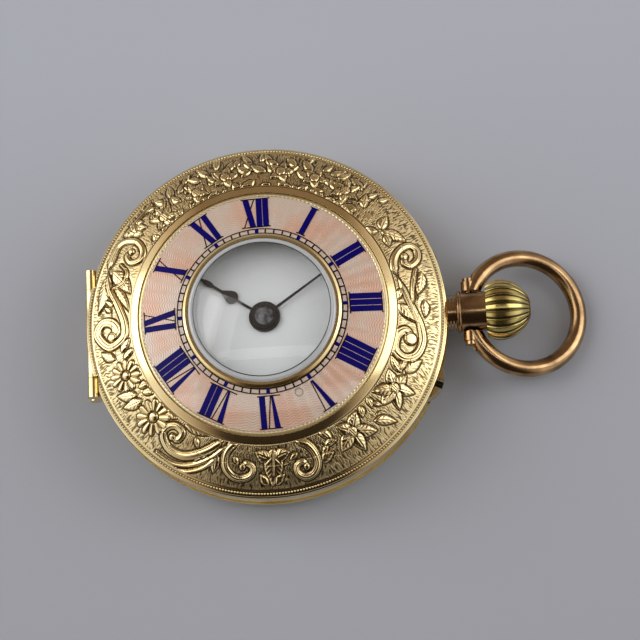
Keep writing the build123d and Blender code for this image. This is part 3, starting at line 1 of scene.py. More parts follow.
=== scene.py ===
"""Dresses a lady's half hunter pocket watch: chased gold case, enamel chapter ring, crystal, dial and bow.

Sizes are in millimetres in the classes below and become metres when a mesh is made. +X points to the
pendant, +Y to XII and +Z out of the dial.
"""

import json
import logging
import math
from collections.abc import Callable, Sequence
from dataclasses import dataclass
from enum import Enum

import bpy
import numpy as np
from mathutils import Matrix, Vector


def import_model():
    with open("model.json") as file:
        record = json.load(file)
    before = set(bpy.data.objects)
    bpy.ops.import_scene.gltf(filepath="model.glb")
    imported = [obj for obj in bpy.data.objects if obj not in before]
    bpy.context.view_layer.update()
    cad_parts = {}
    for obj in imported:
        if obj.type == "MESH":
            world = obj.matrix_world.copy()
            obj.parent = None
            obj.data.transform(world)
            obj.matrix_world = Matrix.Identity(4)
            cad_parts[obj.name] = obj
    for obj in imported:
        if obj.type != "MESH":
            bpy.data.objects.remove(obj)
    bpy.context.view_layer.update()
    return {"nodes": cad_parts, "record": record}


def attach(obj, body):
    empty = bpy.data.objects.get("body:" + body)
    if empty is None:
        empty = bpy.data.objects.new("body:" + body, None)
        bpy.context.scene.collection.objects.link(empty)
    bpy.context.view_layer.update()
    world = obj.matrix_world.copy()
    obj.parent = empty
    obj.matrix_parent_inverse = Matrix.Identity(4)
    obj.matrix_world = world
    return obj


MM = 0.001
FULL_TURN = 2 * math.pi
LOG = logging.getLogger("half_hunter")
Array = np.ndarray
Place = tuple[float, float]
Shape = tuple[Array, Array]
Ground = Callable[[Array, Array, float | Array], Array]
Socket = bpy.types.NodeSocket
Finishes = dict[str, bpy.types.Material]


# Node trees
def linear(colour: str) -> tuple[float, float, float, float]:
    """Turns an sRGB hex colour such as "#e6cf8e" to linear red, green, blue and an alpha of one."""
    parts = [int(colour[index : index + 2], 16) / 255 for index in (1, 3, 5)]
    bent = [part / 12.92 if part <= 0.04045 else ((part + 0.055) / 1.055) ** 2.4 for part in parts]
    return (bent[0], bent[1], bent[2], 1.0)


class Nodes:
    """A node tree in the making, with short calls for the nodes that the finishes share."""

    def __init__(self, owner: bpy.types.Material | bpy.types.World) -> None:
        """Empties the tree of a material or a world."""
        owner.use_nodes = True
        self.tree = owner.node_tree
        self.tree.nodes.clear()

    def put(self, kind: str, inputs: dict | None = None, **settings: object) -> bpy.types.Node:
        """Adds a node with its settings, its input values and its links.

        Args:
            kind: the node's type name.
            inputs: values or other nodes' output sockets, by the input's name or index.
            settings: the node's own properties.

        Returns:
            The new node.
        """
        node = self.tree.nodes.new(kind)
        for name, value in settings.items():
            setattr(node, name, value)
        for key, value in (inputs or {}).items():
            if isinstance(value, Socket):
                self.tree.links.new(value, node.inputs[key])
            else:
                node.inputs[key].default_value = value
        return node

    def place(self, stretch: tuple[float, float, float] = (1, 1, 1)) -> Socket:
        """Object coordinates in millimetres, stretched along the axes."""
        place = self.put("ShaderNodeTexCoord").outputs["Object"]
        scale = tuple(part / MM for part in stretch)
        return self.put("ShaderNodeMapping", {"Vector": place, "Scale": scale}).outputs[0]

    def polar(self, place: Socket) -> tuple[Socket, Socket]:
        """The distance of a place from the watch's axis, and its angle about that axis."""
        axes = self.put("ShaderNodeSeparateXYZ", {0: place}).outputs
        flat = self.put("ShaderNodeCombineXYZ", {0: axes[0], 1: axes[1]}).outputs[0]
        radius = self.put("ShaderNodeVectorMath", {0: flat}, operation="LENGTH").outputs["Value"]
        return radius, self.math("ARCTAN2", axes[1], axes[0])

    def math(self, operation: str, *values: Socket | float) -> Socket:
        """One step of arithmetic on up to three sockets or numbers."""
        return self.put("ShaderNodeMath", dict(enumerate(values)), operation=operation).outputs[0]

    def remap(self, value: Socket, start: Place, end: Place = (0.0, 1.0)) -> Socket:
        """A value carried from one range to another, and held inside it."""
        ends = {"From Min": start[0], "From Max": start[1], "To Min": end[0], "To Max": end[1]}
        return self.put("ShaderNodeMapRange", {"Value": value, **ends}).outputs[0]

    def noise(self, place: Socket, size: float, detail: float) -> Socket:
        """Soft noise whose features are about as large as a size."""
        inputs = {"Vector": place, "Scale": 1 / size, "Detail": detail}
        return self.put("ShaderNodeTexNoise", inputs).outputs["Fac"]

    def mark(self, name: str) -> Socket:
        """The values that a mesh carries under a name."""
        return self.put("ShaderNodeAttribute", attribute_name=name).outputs["Fac"]

    def blend(self, share: Socket, first: Socket | str, second: Socket | str) -> Socket:
        """A mix of two colours, each a socket or a hex colour."""
        pair = [linear(colour) if isinstance(colour, str) else colour for colour in (first, second)]
        # the mix node takes colours at its inputs 6 and 7, and gives its colour at output 2
        return self.put("ShaderNodeMix", {0: share, 6: pair[0], 7: pair[1]}, data_type="RGBA").outputs[2]

    def bump(
        self, height: Socket, strength: float, depth: float = 0.02, normal: Socket | None = None
    ) -> Socket:
        """A normal bent by a height, on top of another normal where one is given."""
        inputs = {"Height": height, "Strength": strength, "Distance": depth * MM}
        if normal is not None:
            inputs["Normal"] = normal
        return self.put("ShaderNodeBump", inputs).outputs[0]

    def shader(self, colour: Socket | tuple, roughness: Socket | float, **others: Socket | float) -> Socket:
        """The principled shader, whose other inputs are named with underscores for spaces."""
        inputs = {"Base Color": colour, "Roughness": roughness}
        inputs |= {name.replace("_", " "): value for name, value in others.items()}
        return self.put("ShaderNodeBsdfPrincipled", inputs).outputs[0]

    def past_lamps(self, surface: Socket) -> Socket:
        """Lets the lamps' rays through glass: its own shader for the eye, a clear one for them."""
        ray = self.put("ShaderNodeLightPath").outputs["Is Shadow Ray"]
        clear = self.put("ShaderNodeBsdfTransparent").outputs[0]
        return self.put("ShaderNodeMixShader", {0: ray, 1: surface, 2: clear}).outputs[0]

    def end(self, surface: Socket) -> None:
        """Ends a material's tree."""
        self.put("ShaderNodeOutputMaterial", {"Surface": surface})

    def end_metal(self, colour: Socket, roughness: Socket | float, normal: Socket) -> None:
        """Ends the tree of a bare metal."""
        self.end(self.shader(colour, roughness, Metallic=1.0, Normal=normal))


# Finishes
@dataclass(frozen=True)
class Finish:
    """A surface finish with its name and its main colour."""

    name: str
    colour: str

    def material(self) -> bpy.types.Material:
        """Makes the material and fills its tree."""
        material = bpy.data.materials.new(self.name)
        self.fill(Nodes(material))
        return material

    def fill(self, nodes: Nodes) -> None:
        """Builds the node tree."""
        raise NotImplementedError


@dataclass(frozen=True)
class PolishedMetal(Finish):
    """A polished or worn metal: blotches of tone, fine hairlines from wiping, and a soft grain."""

    shade: str
    roughness: float
    wear: float = 0.08
    hairlines: float = 0.05
    grain: float = 0.0
    blotch_size: float = 2.6
    hairline_size: float = 0.12
    hairline_stretch: float = 0.07
    grain_size: float = 0.06
    tone_run: Place = (0.35, 0.7)
    wear_run: Place = (0.3, 0.75)

    def fill(self, nodes: Nodes) -> None:
        """Tone by a coarse noise, bump by a stretched noise and a grain."""
        place = nodes.place()
        tone = nodes.noise(place, self.blotch_size, detail=4.0)
        colour = nodes.blend(nodes.remap(tone, self.tone_run), self.colour, self.shade)
        roughness = nodes.remap(tone, self.wear_run, (self.roughness, self.roughness + self.wear))
        stretched = nodes.place((1.0, self.hairline_stretch, 1.0))
        streaks = nodes.noise(stretched, self.hairline_size, detail=2.0)
        normal = nodes.bump(streaks, self.hairlines)
        if self.grain:
            normal = nodes.bump(nodes.noise(place, self.grain_size, detail=1.0), self.grain, normal=normal)
        nodes.end_metal(colour, roughness, normal)


@dataclass(frozen=True)
class ChasedGold(Finish):
    """Chased and engraved gold: bright on the raised work, with tone, and darkened with painted shade in the
    cuts.

    The ground is matted with short strokes that run outwards, about 0.13 mm apart and 0.6 mm long, each
    darkened with painted shade.
    """

    name: str = "chased_yellow_gold"
    colour: str = "#f5e2b0"
    shade: str = "#e4c88c"
    # painted shade: the dark colour laid in the cuts, the matting strokes and the other recesses
    painted_shade: str = "#3d2d15"
    roughness: float = 0.15
    ground_roughness: float = 0.3
    tone_size: float = 2.0
    stroke_width: float = 0.13
    stroke_length: float = 0.6
    stroke_sway: float = 9.0
    middle_radius: float = 15.0
    stroke_run: Place = (0.48, 0.56)
    # share of the painted shade laid in each matting stroke
    stroke_shade: float = 0.85
    stroke_depth: float = 0.8
    speck_size: float = 1 / 7
    speck_depth: float = 0.1

    def fill(self, nodes: Nodes) -> None:
        """The marks on the mesh say where the cuts and the matted ground are; painted shade darkens both."""
        place = nodes.place()
        tone = nodes.noise(place, self.tone_size, detail=4.0)
        cut, ground = nodes.mark("cut"), nodes.mark("ground")
        radius, angle = nodes.polar(place)
        across = nodes.math("MULTIPLY", angle, self.middle_radius / self.stroke_width)
        bent = nodes.math("MULTIPLY_ADD", tone, self.stroke_sway, across)
        along = nodes.math("MULTIPLY", radius, 1 / self.stroke_length)
        rolled_out = nodes.put("ShaderNodeCombineXYZ", {0: bent, 1: along}).outputs[0]
        strokes = nodes.remap(nodes.noise(rolled_out, 1.0, detail=1.0), self.stroke_run)
        deep = nodes.math("MULTIPLY", strokes, ground)
        # painted shade: the matting strokes and the cuts are blended towards the dark colour
        share = nodes.math("MAXIMUM", nodes.math("MULTIPLY", deep, self.stroke_shade), cut)
        colour = nodes.blend(share, nodes.blend(tone, self.colour, self.shade), self.painted_shade)
        normal = nodes.bump(nodes.math("MULTIPLY", deep, -1.0), self.stroke_depth)
        normal = nodes.bump(nodes.noise(place, self.speck_size, detail=2.0), self.speck_depth, normal=normal)
        roughness = nodes.remap(ground, (0.0, 1.0), (self.roughness, self.ground_roughness))
        nodes.end_metal(colour, roughness, normal)


@dataclass(frozen=True)
class FlutedBrass(Finish):
    """The crown's rolled gold over brass: bright on the ridges, with painted shade in the flutes between
    them.
    """

    name: str = "rolled_gold_fluted_crown"
    colour: str = "#d6c583"
    shade: str = "#b9a45e"
    # painted shade laid in the flutes between the ridges
    flute_shade: str = "#2a2512"
    roughness: float = 0.24
    flutes: float = 22.0
    axis_height: float = 4.3
    valley_run: Place = (-0.05, -0.85)
    most_flute_shade: float = 0.9
    tone_depth: float = 0.2
    tone_size: float = 1.25

    def fill(self, nodes: Nodes) -> None:
        """The cosine of the flutes' count times the angle about the stem says where the painted shade goes.
        """
        place = nodes.place()
        axes = nodes.put("ShaderNodeSeparateXYZ", {0: place}).outputs
        angle = nodes.math("ARCTAN2", nodes.math("SUBTRACT", axes[2], self.axis_height), axes[1])
        wave = nodes.math("COSINE", nodes.math("MULTIPLY", angle, self.flutes))
        valley = nodes.remap(wave, self.valley_run, (0.0, self.most_flute_shade))
        tone = nodes.noise(place, self.tone_size, detail=4.0)
        # painted shade: the flutes are blended towards the dark colour
        colour = nodes.blend(valley, nodes.blend(tone, self.colour, self.shade), self.flute_shade)
        nodes.end_metal(colour, self.roughness, nodes.bump(tone, self.tone_depth, depth=0.05))


@dataclass(frozen=True)
class EngineTurnedGold(Finish):
    """Engine-turned gold of the back: rings of waves round a plain polished middle, 0.5 mm apart."""

    name: str = "engine_turned_yellow_gold"
    colour: str = "#ecd695"
    shade: str = "#d8bb74"
    roughness: float = 0.18
    pitch: float = 0.5
    waves: float = 48.0
    sway: float = 2.2
    middle: float = 3.4
    edge: float = 14.6
    fade: float = 0.1
    cut_depth: float = 0.8
    cut_tone: float = 0.25
    tone_size: float = 2.5

    def fill(self, nodes: Nodes) -> None:
        """The sine of the radius, swayed by the sine of the angle, makes the cuts."""
        place = nodes.place()
        radius, angle = nodes.polar(place)
        sway = nodes.math("SINE", nodes.math("MULTIPLY", angle, self.waves))
        rings = nodes.math("MULTIPLY", radius, FULL_TURN / self.pitch)
        wave = nodes.math("SINE", nodes.math("MULTIPLY_ADD", sway, self.sway, rings))
        outside = nodes.remap(radius, (self.middle, self.middle + self.fade))
        inside = nodes.remap(radius, (self.edge, self.edge - self.fade))
        cuts = nodes.math("MULTIPLY", wave, nodes.math("MULTIPLY", outside, inside))
        worn = nodes.math("MULTIPLY_ADD", cuts, self.cut_tone, nodes.noise(place, self.tone_size, detail=4.0))
        colour = nodes.blend(worn, self.colour, self.shade)
        nodes.end_metal(colour, self.roughness, nodes.bump(cuts, self.cut_depth, depth=0.03))


@dataclass(frozen=True)
class EngineTurnedEnamel(Finish):
    """Translucent pink enamel over engine-turned gold: the wavy lines shine through a clear glaze."""

    name: str = "pink_enamel_over_engine_turning"
    colour: str = "#dccbbb"
    shade: str = "#e2b297"
    ivory: str = "#dcc8ba"
    roughness: float = 0.42
    metal_share: float = 0.22
    flames: float = 40.0
    flame_bend: float = 5.2
    flame_sway: float = 1.5
    flame_tone: float = 0.24
    line_pitch: float = 0.24
    line_sway: float = 2.6
    line_depth: float = 0.55
    wave_count: float = 60.0
    cloud_size: float = 2.941176
    cloud_run: Place = (0.4, 0.64)
    cloud_share: Place = (0.05, 0.85)
    track_radius: float = 7.95
    track_edge: float = 0.06
    coat: float = 0.8
    coat_roughness: float = 0.06

    def fill(self, nodes: Nodes) -> None:
        """Fine wavy rings for the bump, broad flames and clouds for the colour, and an ivory track."""
        place = nodes.place()
        radius, angle = nodes.polar(place)
        sway = nodes.math("SINE", nodes.math("MULTIPLY", angle, self.wave_count))
        rings = nodes.math("MULTIPLY", radius, FULL_TURN / self.line_pitch)
        lines = nodes.math("SINE", nodes.math("MULTIPLY_ADD", sway, self.line_sway, rings))
        bow = nodes.math("SINE", nodes.math("MULTIPLY", radius, self.flame_bend))
        around = nodes.math("MULTIPLY", angle, self.flames)
        rays = nodes.math("SINE", nodes.math("MULTIPLY_ADD", bow, self.flame_sway, around))
        both = nodes.math("MULTIPLY", rays, lines)
        clouds = nodes.noise(place, self.cloud_size, detail=3.0)
        clouds = nodes.remap(clouds, self.cloud_run, self.cloud_share)
        share = nodes.math("MULTIPLY_ADD", both, self.flame_tone, clouds)
        share.node.use_clamp = True
        pink = nodes.blend(share, self.colour, self.shade)
        track = nodes.remap(radius, (self.track_radius, self.track_radius + self.track_edge), (1.0, 0.0))
        colour = nodes.blend(track, pink, self.ivory)
        glaze = {"Coat_Weight": self.coat, "Coat_Roughness": self.coat_roughness}
        glaze |= {"Metallic": self.metal_share, "Normal": nodes.bump(lines, self.line_depth)}
        nodes.end(nodes.shader(colour, self.roughness, **glaze))


@dataclass(frozen=True)
class Glaze(Finish):
    """Fired enamel or enamel paint: glassy, with a slight orange peel and faint tone."""

    shade: str
    roughness: float = 0.22
    peel_size: float = 1.4
    peel_depth: float = 0.05
    coat: float = 0.6
    coat_roughness: float = 0.05
    shine: float = 0.5
    lets_lamps_through: bool = False

    def fill(self, nodes: Nodes) -> None:
        """A slow noise for the tone and the peel, under a clear coat."""
        tone = nodes.noise(nodes.place(), self.peel_size, detail=3.0)
        colour = nodes.blend(tone, self.colour, self.shade)
        gloss = {"Coat_Weight": self.coat, "Coat_Roughness": self.coat_roughness}
        gloss |= {"Specular_IOR_Level": self.shine, "Normal": nodes.bump(tone, self.peel_depth, depth=0.05)}
        surface = nodes.shader(colour, self.roughness, **gloss)
        nodes.end(nodes.past_lamps(surface) if self.lets_lamps_through else surface)


@dataclass(frozen=True)
class ClearGlass(Finish):
    """Polished watch glass: clear but for rubbed patches, and lets the lamps through to the dial."""

    name: str = "polished_watch_glass"
    colour: str = "#fdfefe"
    haze_size: float = 2.0
    haze_run: Place = (0.5, 0.8)
    rubbed: float = 0.03
    bending: float = 1.5

    def fill(self, nodes: Nodes) -> None:
        """Glass for the eye, and a clear shader for rays from lamps."""
        haze = nodes.noise(nodes.place(), self.haze_size, detail=2.0)
        rub = nodes.remap(haze, self.haze_run, (0.0, self.rubbed))
        glass = nodes.shader(linear(self.colour), rub, IOR=self.bending, Transmission_Weight=1.0)
        nodes.end(nodes.past_lamps(glass))


# what the numerals' paint, the painted highlight on the crystal's bevel and the hands have in common
PAINT = {"roughness": 0.35, "coat": 0.0, "shine": 0.1}
BEVEL_HIGHLIGHT_GLAZE = {"roughness": 0.25, "coat": 0.9, "lets_lamps_through": True}
DULL_STEEL = {"roughness": 0.4, "coat": 0.0, "shine": 0.35}
FINISHES: dict[str, Finish] = {
    # 9 carat gold, die-struck and polished: pale yellow with soft wear
    "yellow_gold": PolishedMetal("polished_yellow_gold", "#f3dfaa", "#dfc284", 0.16),
    # the same gold, chased by hand: bright leaves over a matted ground darkened with painted shade
    "chased_gold": ChasedGold(),
    # the same gold, cut in waves by the rose engine: glints that fan out from the middle
    "turned_gold": EngineTurnedGold(),
    # inner lid and bezel gilding, deeper and softer
    "cuvette_gilt": PolishedMetal("gilt_inner_lid", "#e3c47c", "#cfa95c", 0.22),
    # copper-rich gold of the pendant and bow, rubbed by the chain: brown with warm highlights
    "rose_gold": PolishedMetal("rubbed_rose_gold", "#c5a377", "#6e5338", 0.16, wear=0.14),
    # greener brass-gold of the crown, darkened with painted shade between the ridges
    "crown_gold": FlutedBrass(),
    # fired enamel over cut gold: pink that flickers along the cuts
    "pink_enamel": EngineTurnedEnamel(),
    # smooth fired enamel, cold white
    "white_enamel": Glaze("white_dial_enamel", "#f4f7f9", "#eef1f2", coat=0.3),
    # fired numerals of a deep, flat blue, and fine black lines
    "cobalt_paint": Glaze("cobalt_enamel_paint", "#0a045f", "#0f076b", **PAINT),
    "black_paint": Glaze("black_enamel_paint", "#08070b", "#121016", **PAINT),
    # pale trellis edge fired on the enamel
    "edge_gilding": PolishedMetal("fired_gilding", "#f4e9c4", "#e3d3a2", 0.4, grain=0.3),
    # clear glass that shows the dial, with faint rubbed patches
    "crystal": ClearGlass(),
    # painted light on the crystal's edge: a pale opaque ring as a painted highlight of the bevel's bright
    # rim, and a dark ring as painted shade for the dark line inside it
    "bevel_highlight": Glaze("painted_bevel_highlight", "#cdd1d4", "#b9bdc0", **BEVEL_HIGHLIGHT_GLAZE),
    "bevel_shade": Glaze("crystal_edge_shadow", "#3b3c3d", "#2e2f30", 0.3),
    # the hands' steel, oxidised to a dull black
    "black_steel": Glaze("oxidised_black_steel", "#0b0b0f", "#16161a", **DULL_STEEL),
    # screws blued over a flame
    "blued_steel": PolishedMetal("blued_steel", "#24377a", "#16234f", 0.22, grain=0.1),
    # the cannon's cap, worn bare and pitted
    "worn_steel": PolishedMetal(
        "worn_dark_steel", "#85868a", "#2c2d31", 0.35, wear=0.15, grain=1.0, blotch_size=0.6
    ),
    # hardened winding wheels, grey, and the bright steel of the click and stem
    "dark_steel": PolishedMetal("dark_steel", "#3a3c3a", "#232522", 0.3),
    "polished_steel": PolishedMetal("polished_steel", "#c9cbcd", "#b2b4b6", 0.2),
    # frosted gilding of the plates: a grain of about 0.06 mm
    "gilt_brass": PolishedMetal("frosted_gilt_brass", "#dfbb6e", "#cda256", 0.34, wear=0.06, grain=0.5),
    # deep red stone, lit through its polish
    "ruby": Glaze("ruby_jewel", "#9c1238", "#7a0c2b", 0.1),
    # a ring left in the glaze by the firing
    "glaze_mark": Glaze("glaze_mark", "#8d7f78", "#7a6c66", 0.3),
}


# Shapes and pieces
def smooth(value: Array) -> Array:
    """Rises from zero to one with level ends: three times the square less twice the cube."""
    held = np.clip(value, 0, 1)
    return held * held * (3 - 2 * held)


def line_of(far: Array, width: float) -> Array:
    """One on a line and nothing away from it: the bell curve of the distance over the width."""
    return np.exp(-((far / width) ** 2))


def turn_of(columns: int) -> Array:
    """Angles at equal steps round a full turn."""
    return np.linspace(0, FULL_TURN, columns, endpoint=False)


def ring_points(radius: Array | float, angle: Array, height: Array | float) -> Array:
    """Points from a radius and an angle about the watch's axis, and a height."""
    return np.stack(np.broadcast_arrays(radius * np.cos(angle), radius * np.sin(angle), height), axis=-1)


def quads(rows: int, columns: int, closed_rows: bool, closed_columns: bool) -> Array:
    """Faces of a grid whose point in row i and column j has the number i * columns + j."""
    row = np.arange(rows if closed_rows else rows - 1)
    column = np.arange(columns if closed_columns else columns - 1)
    i, j = np.meshgrid(row, column, indexing="ij")
    below, right = (i + 1) % rows, (j + 1) % columns
    corners = (i * columns + j, i * columns + right, below * columns + right, below * columns + j)
    return np.stack([corner.ravel() for corner in corners], axis=1)


def outward(points: Array, faces: Array) -> Array:
    """Turns the faces of a closed shape round if its volume comes out negative.

    Args:
        points: the points, one to a row.
        faces: three or four point numbers to a row.

    Returns:
        The faces, with their order kept or reversed.
    """
    corner = points[faces]
    volume = np.einsum("ij,ij->i", corner[:, 0], np.cross(corner[:, 1], corner[:, 2])).sum()
    if faces.shape[1] == 4:
        volume += np.einsum("ij,ij->i", corner[:, 0], np.cross(corner[:, 2], corner[:, 3])).sum()
    return faces if volume > 0 else faces[:, ::-1]


def joined(shapes: list[Shape]) -> Shape:
    """Puts shapes of like faces into one, with their faces renumbered."""
    starts = np.cumsum([0] + [len(points) for points, _ in shapes[:-1]])
    points = np.concatenate([points for points, _ in shapes])
    faces = np.concatenate([faces + start for (_, faces), start in zip(shapes, starts)])
    return points, faces


def copied(shape: Shape, places: Array, turns: Array) -> Shape:
    """Repeats a shape at places, each with its own turn.

    Args:
        shape: the points and faces of one.
        places: one place to a row.
        turns: one 3 by 3 matrix for each place.

    Returns:
        The points and faces of all of them.
    """
    points, faces = shape
    moved = np.einsum("nij,kj->nki", turns, points) + places[:, None, :]
    starts = np.arange(len(places)) * len(points)
    return moved.reshape(-1, 3), (faces[None] + starts[:, None, None]).reshape(-1, faces.shape[1])


def kites(columns: int, start: int, pole: int, onward: bool) -> Array:
    """Faces from a ring of points to a pole, each over two columns.

    Args:
        columns: how many points the ring has, an even number.
        start: the number of the ring's first point.
        pole: the number of the pole.
        onward: whether the faces run along the ring in the order of its points.

    Returns:
        The faces, four points to a row.
    """
    first = np.arange(0, columns, 2)
    ring = [start + first, start + first + 1, start + (first + 2) % columns]
    return np.stack((ring if onward else ring[::-1]) + [np.full_like(first, pole)], axis=1)


def dome_bead(radius: float, sink: float, columns: int = 8, rings: int = 3) -> Shape:
    """A small dome on a sunk foot: rings of points at equal steps of height angle, and a cap of kites."""
    lift = np.linspace(0, math.pi / 2, rings + 1)[:-1]
    reach = np.concatenate([[radius], radius * np.cos(lift)])
    level = np.concatenate([[-2 * sink], radius * np.sin(lift)])
    grid = ring_points(reach[:, None], turn_of(columns), level[:, None]).reshape(-1, 3)
    points = np.vstack([grid, [[0, 0, radius], [0, 0, -2 * sink]]])
    top, foot = len(grid), len(grid) + 1
    caps = [kites(columns, rings * columns, top, True), kites(columns, 0, foot, False)]
    faces = np.concatenate([quads(rings + 1, columns, False, True)] + caps)
    return points, outward(points, faces)


def turned(profile: tuple[Place, ...], columns: int = 96) -> Shape:
    """A profile of radii and heights, turned about the watch's axis.

    A profile that starts and ends on the axis is closed by a pole at each end; any other is closed from
    its last point to its first.

    Args:
        profile: the points, each a radius and a height.
        columns: points around.

    Returns:
        Points and faces of the closed shape.
    """
    poled = profile[0][0] == profile[-1][0] == 0
    rim = profile[1:-1] if poled else profile
    radius, level = (np.array(values)[:, None] for values in zip(*rim))
    points = ring_points(radius, turn_of(columns), level).reshape(-1, 3)
    faces = quads(len(rim), columns, not poled, True)
    if poled:
        count = len(points)
        points = np.vstack([points, [[0, 0, profile[0][1]], [0, 0, profile[-1][1]]]])
        caps = [kites(columns, 0, count, False), kites(columns, count - columns, count + 1, True)]
        faces = np.concatenate([faces] + caps)
    return points, outward(points, faces)


def piece(
    name: str,
    shape: Shape,
    material: bpy.types.Material,
    body: str,
    rounded: bool = True,
    marks: dict[str, Array] | None = None,
) -> bpy.types.Object:
    """Makes a mesh piece that rides on a body, with smooth shading where it is rounded.

    Args:
        name: the piece's name.
        shape: points in millimetres, and faces.
        material: its finish.
        body: the body that it moves with.
        rounded: smooth shading.
        marks: values at each point, kept on the mesh for its material.

    Returns:
        The new object.
    """
    points, faces = shape
    mesh = bpy.data.meshes.new(name)
    mesh.from_pydata((points * MM).tolist(), [], faces.tolist())
    mesh.polygons.foreach_set("use_smooth", np.full(len(mesh.polygons), rounded))
    for mark, values in (marks or {}).items():
        layer = mesh.attributes.new(mark, "FLOAT", "POINT")
        layer.data.foreach_set("value", values.astype(np.float32))
    mesh.materials.append(material)
    mesh.update()
    made = bpy.data.objects.new(name, mesh)
    bpy.context.scene.collection.objects.link(made)
    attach(made, body)
    LOG.info("%s: %d points, %d faces on %s", name, len(points), len(faces), body)
    return made


# Curves that the case is turned to
@dataclass(frozen=True)
class Arc:
    """A circular arc through three points, each a radius and a height."""

    first: Place
    middle: Place
    last: Place

    def circle(self) -> tuple[float, float, float]:
        """The centre and radius of the circle through the three points."""
        rows = np.array([np.subtract(self.middle, self.first), np.subtract(self.last, self.first)])
        squares = np.array([np.dot(point, point) for point in (self.first, self.middle, self.last)])
        across, up = np.linalg.solve(rows, (squares[1:] - squares[0]) / 2)
        return across, up, math.hypot(self.first[0] - across, self.first[1] - up)

    def height(self, radius: Array | float) -> Array | float:
        """Height over a radius: the circle's upper half."""
        across, up, reach = self.circle()
        return up + np.sqrt(np.maximum(reach**2 - (radius - across) ** 2, 0))

    def normal(self, radius: Array | float) -> tuple[Array | float, Array | float]:
        """Outward direction at a radius: away from the circle's centre."""
        across, up, reach = self.circle()
        return (radius - across) / reach, (self.height(radius) - up) / reach


COVER_ARC = Arc((17.0, 5.75), (14.6, 7.4), (11.7, 8.55))
ENAMEL_ARC = Arc((11.7, 8.55), (9.55, 9.072), (7.4, 9.45))


def on_enamel(x: Array, y: Array, lift: float | Array) -> Array:
    """Points over the enamel at a lift above its dome."""
    return np.stack([x, y, ENAMEL_ARC.height(np.hypot(x, y)) + lift], axis=-1)


def on_level(level: float) -> Ground:
    """A function that puts points at a lift over one level."""

    def place(x: Array, y: Array, lift: float | Array) -> Array:
        """Points over the level."""
        return np.stack([x, y, np.full_like(x, level) + lift], axis=-1)

    return place


# Paint
def stroke(start: Place, end: Place, width: Place, lift: Place, ground: Ground, steps: int = 10) -> Shape:
    """A painted stroke laid on a curved face: a flat bar bent to it.

    Args:
        start: one end, in plan.
        end: the other end, in plan.
        width: its width at each end.
        lift: its underside and its face above the ground.
        ground: gives points over the face from plan places and a lift.
        steps: runs along it.

    Returns:
        Points and faces of a closed bar.
    """
    along = np.linspace(0, 1, steps + 1)
    run = np.subtract(end, start)
    side = np.array([-run[1], run[0]]) / np.linalg.norm(run)
    half = (width[0] + (width[1] - width[0]) * along) / 2
    corners = []
    for sign, height in ((-1, lift[0]), (1, lift[0]), (1, lift[1]), (-1, lift[1])):
        x = start[0] + run[0] * along + sign * half * side[0]
        y = start[1] + run[1] * along + sign * half * side[1]
        corners.append(ground(x, y, height))
    points = np.stack(corners, axis=1).reshape(-1, 3)
    faces = quads(steps + 1, 4, False, True)
    last = steps * 4
    faces = np.concatenate([faces, [[3, 2, 1, 0], [last, last + 1, last + 2, last + 3]]])
    return points, outward(points, faces)


def hoop(
    radius: float, width: float, lift: Place, ground: Ground, centre: Place = (0, 0), columns: int = 240
) -> Shape:
    """A painted circle laid on a curved face: a flat ring bent to it."""
    angle = turn_of(columns)
    low, high = radius - width / 2, radius + width / 2
    section = ((low, lift[0]), (low, lift[1]), (high, lift[1]), (high, lift[0]))
    rows = [
        ground(centre[0] + reach * np.cos(angle), centre[1] + reach * np.sin(angle), height)
        for reach, height in section
    ]
    points = np.concatenate(rows)
    return points, outward(points, quads(len(section), columns, True, True))


class Mark(Enum):
    """The strokes of a Roman numeral's letters."""

    I = "I"
    V = "V"
    X = "X"


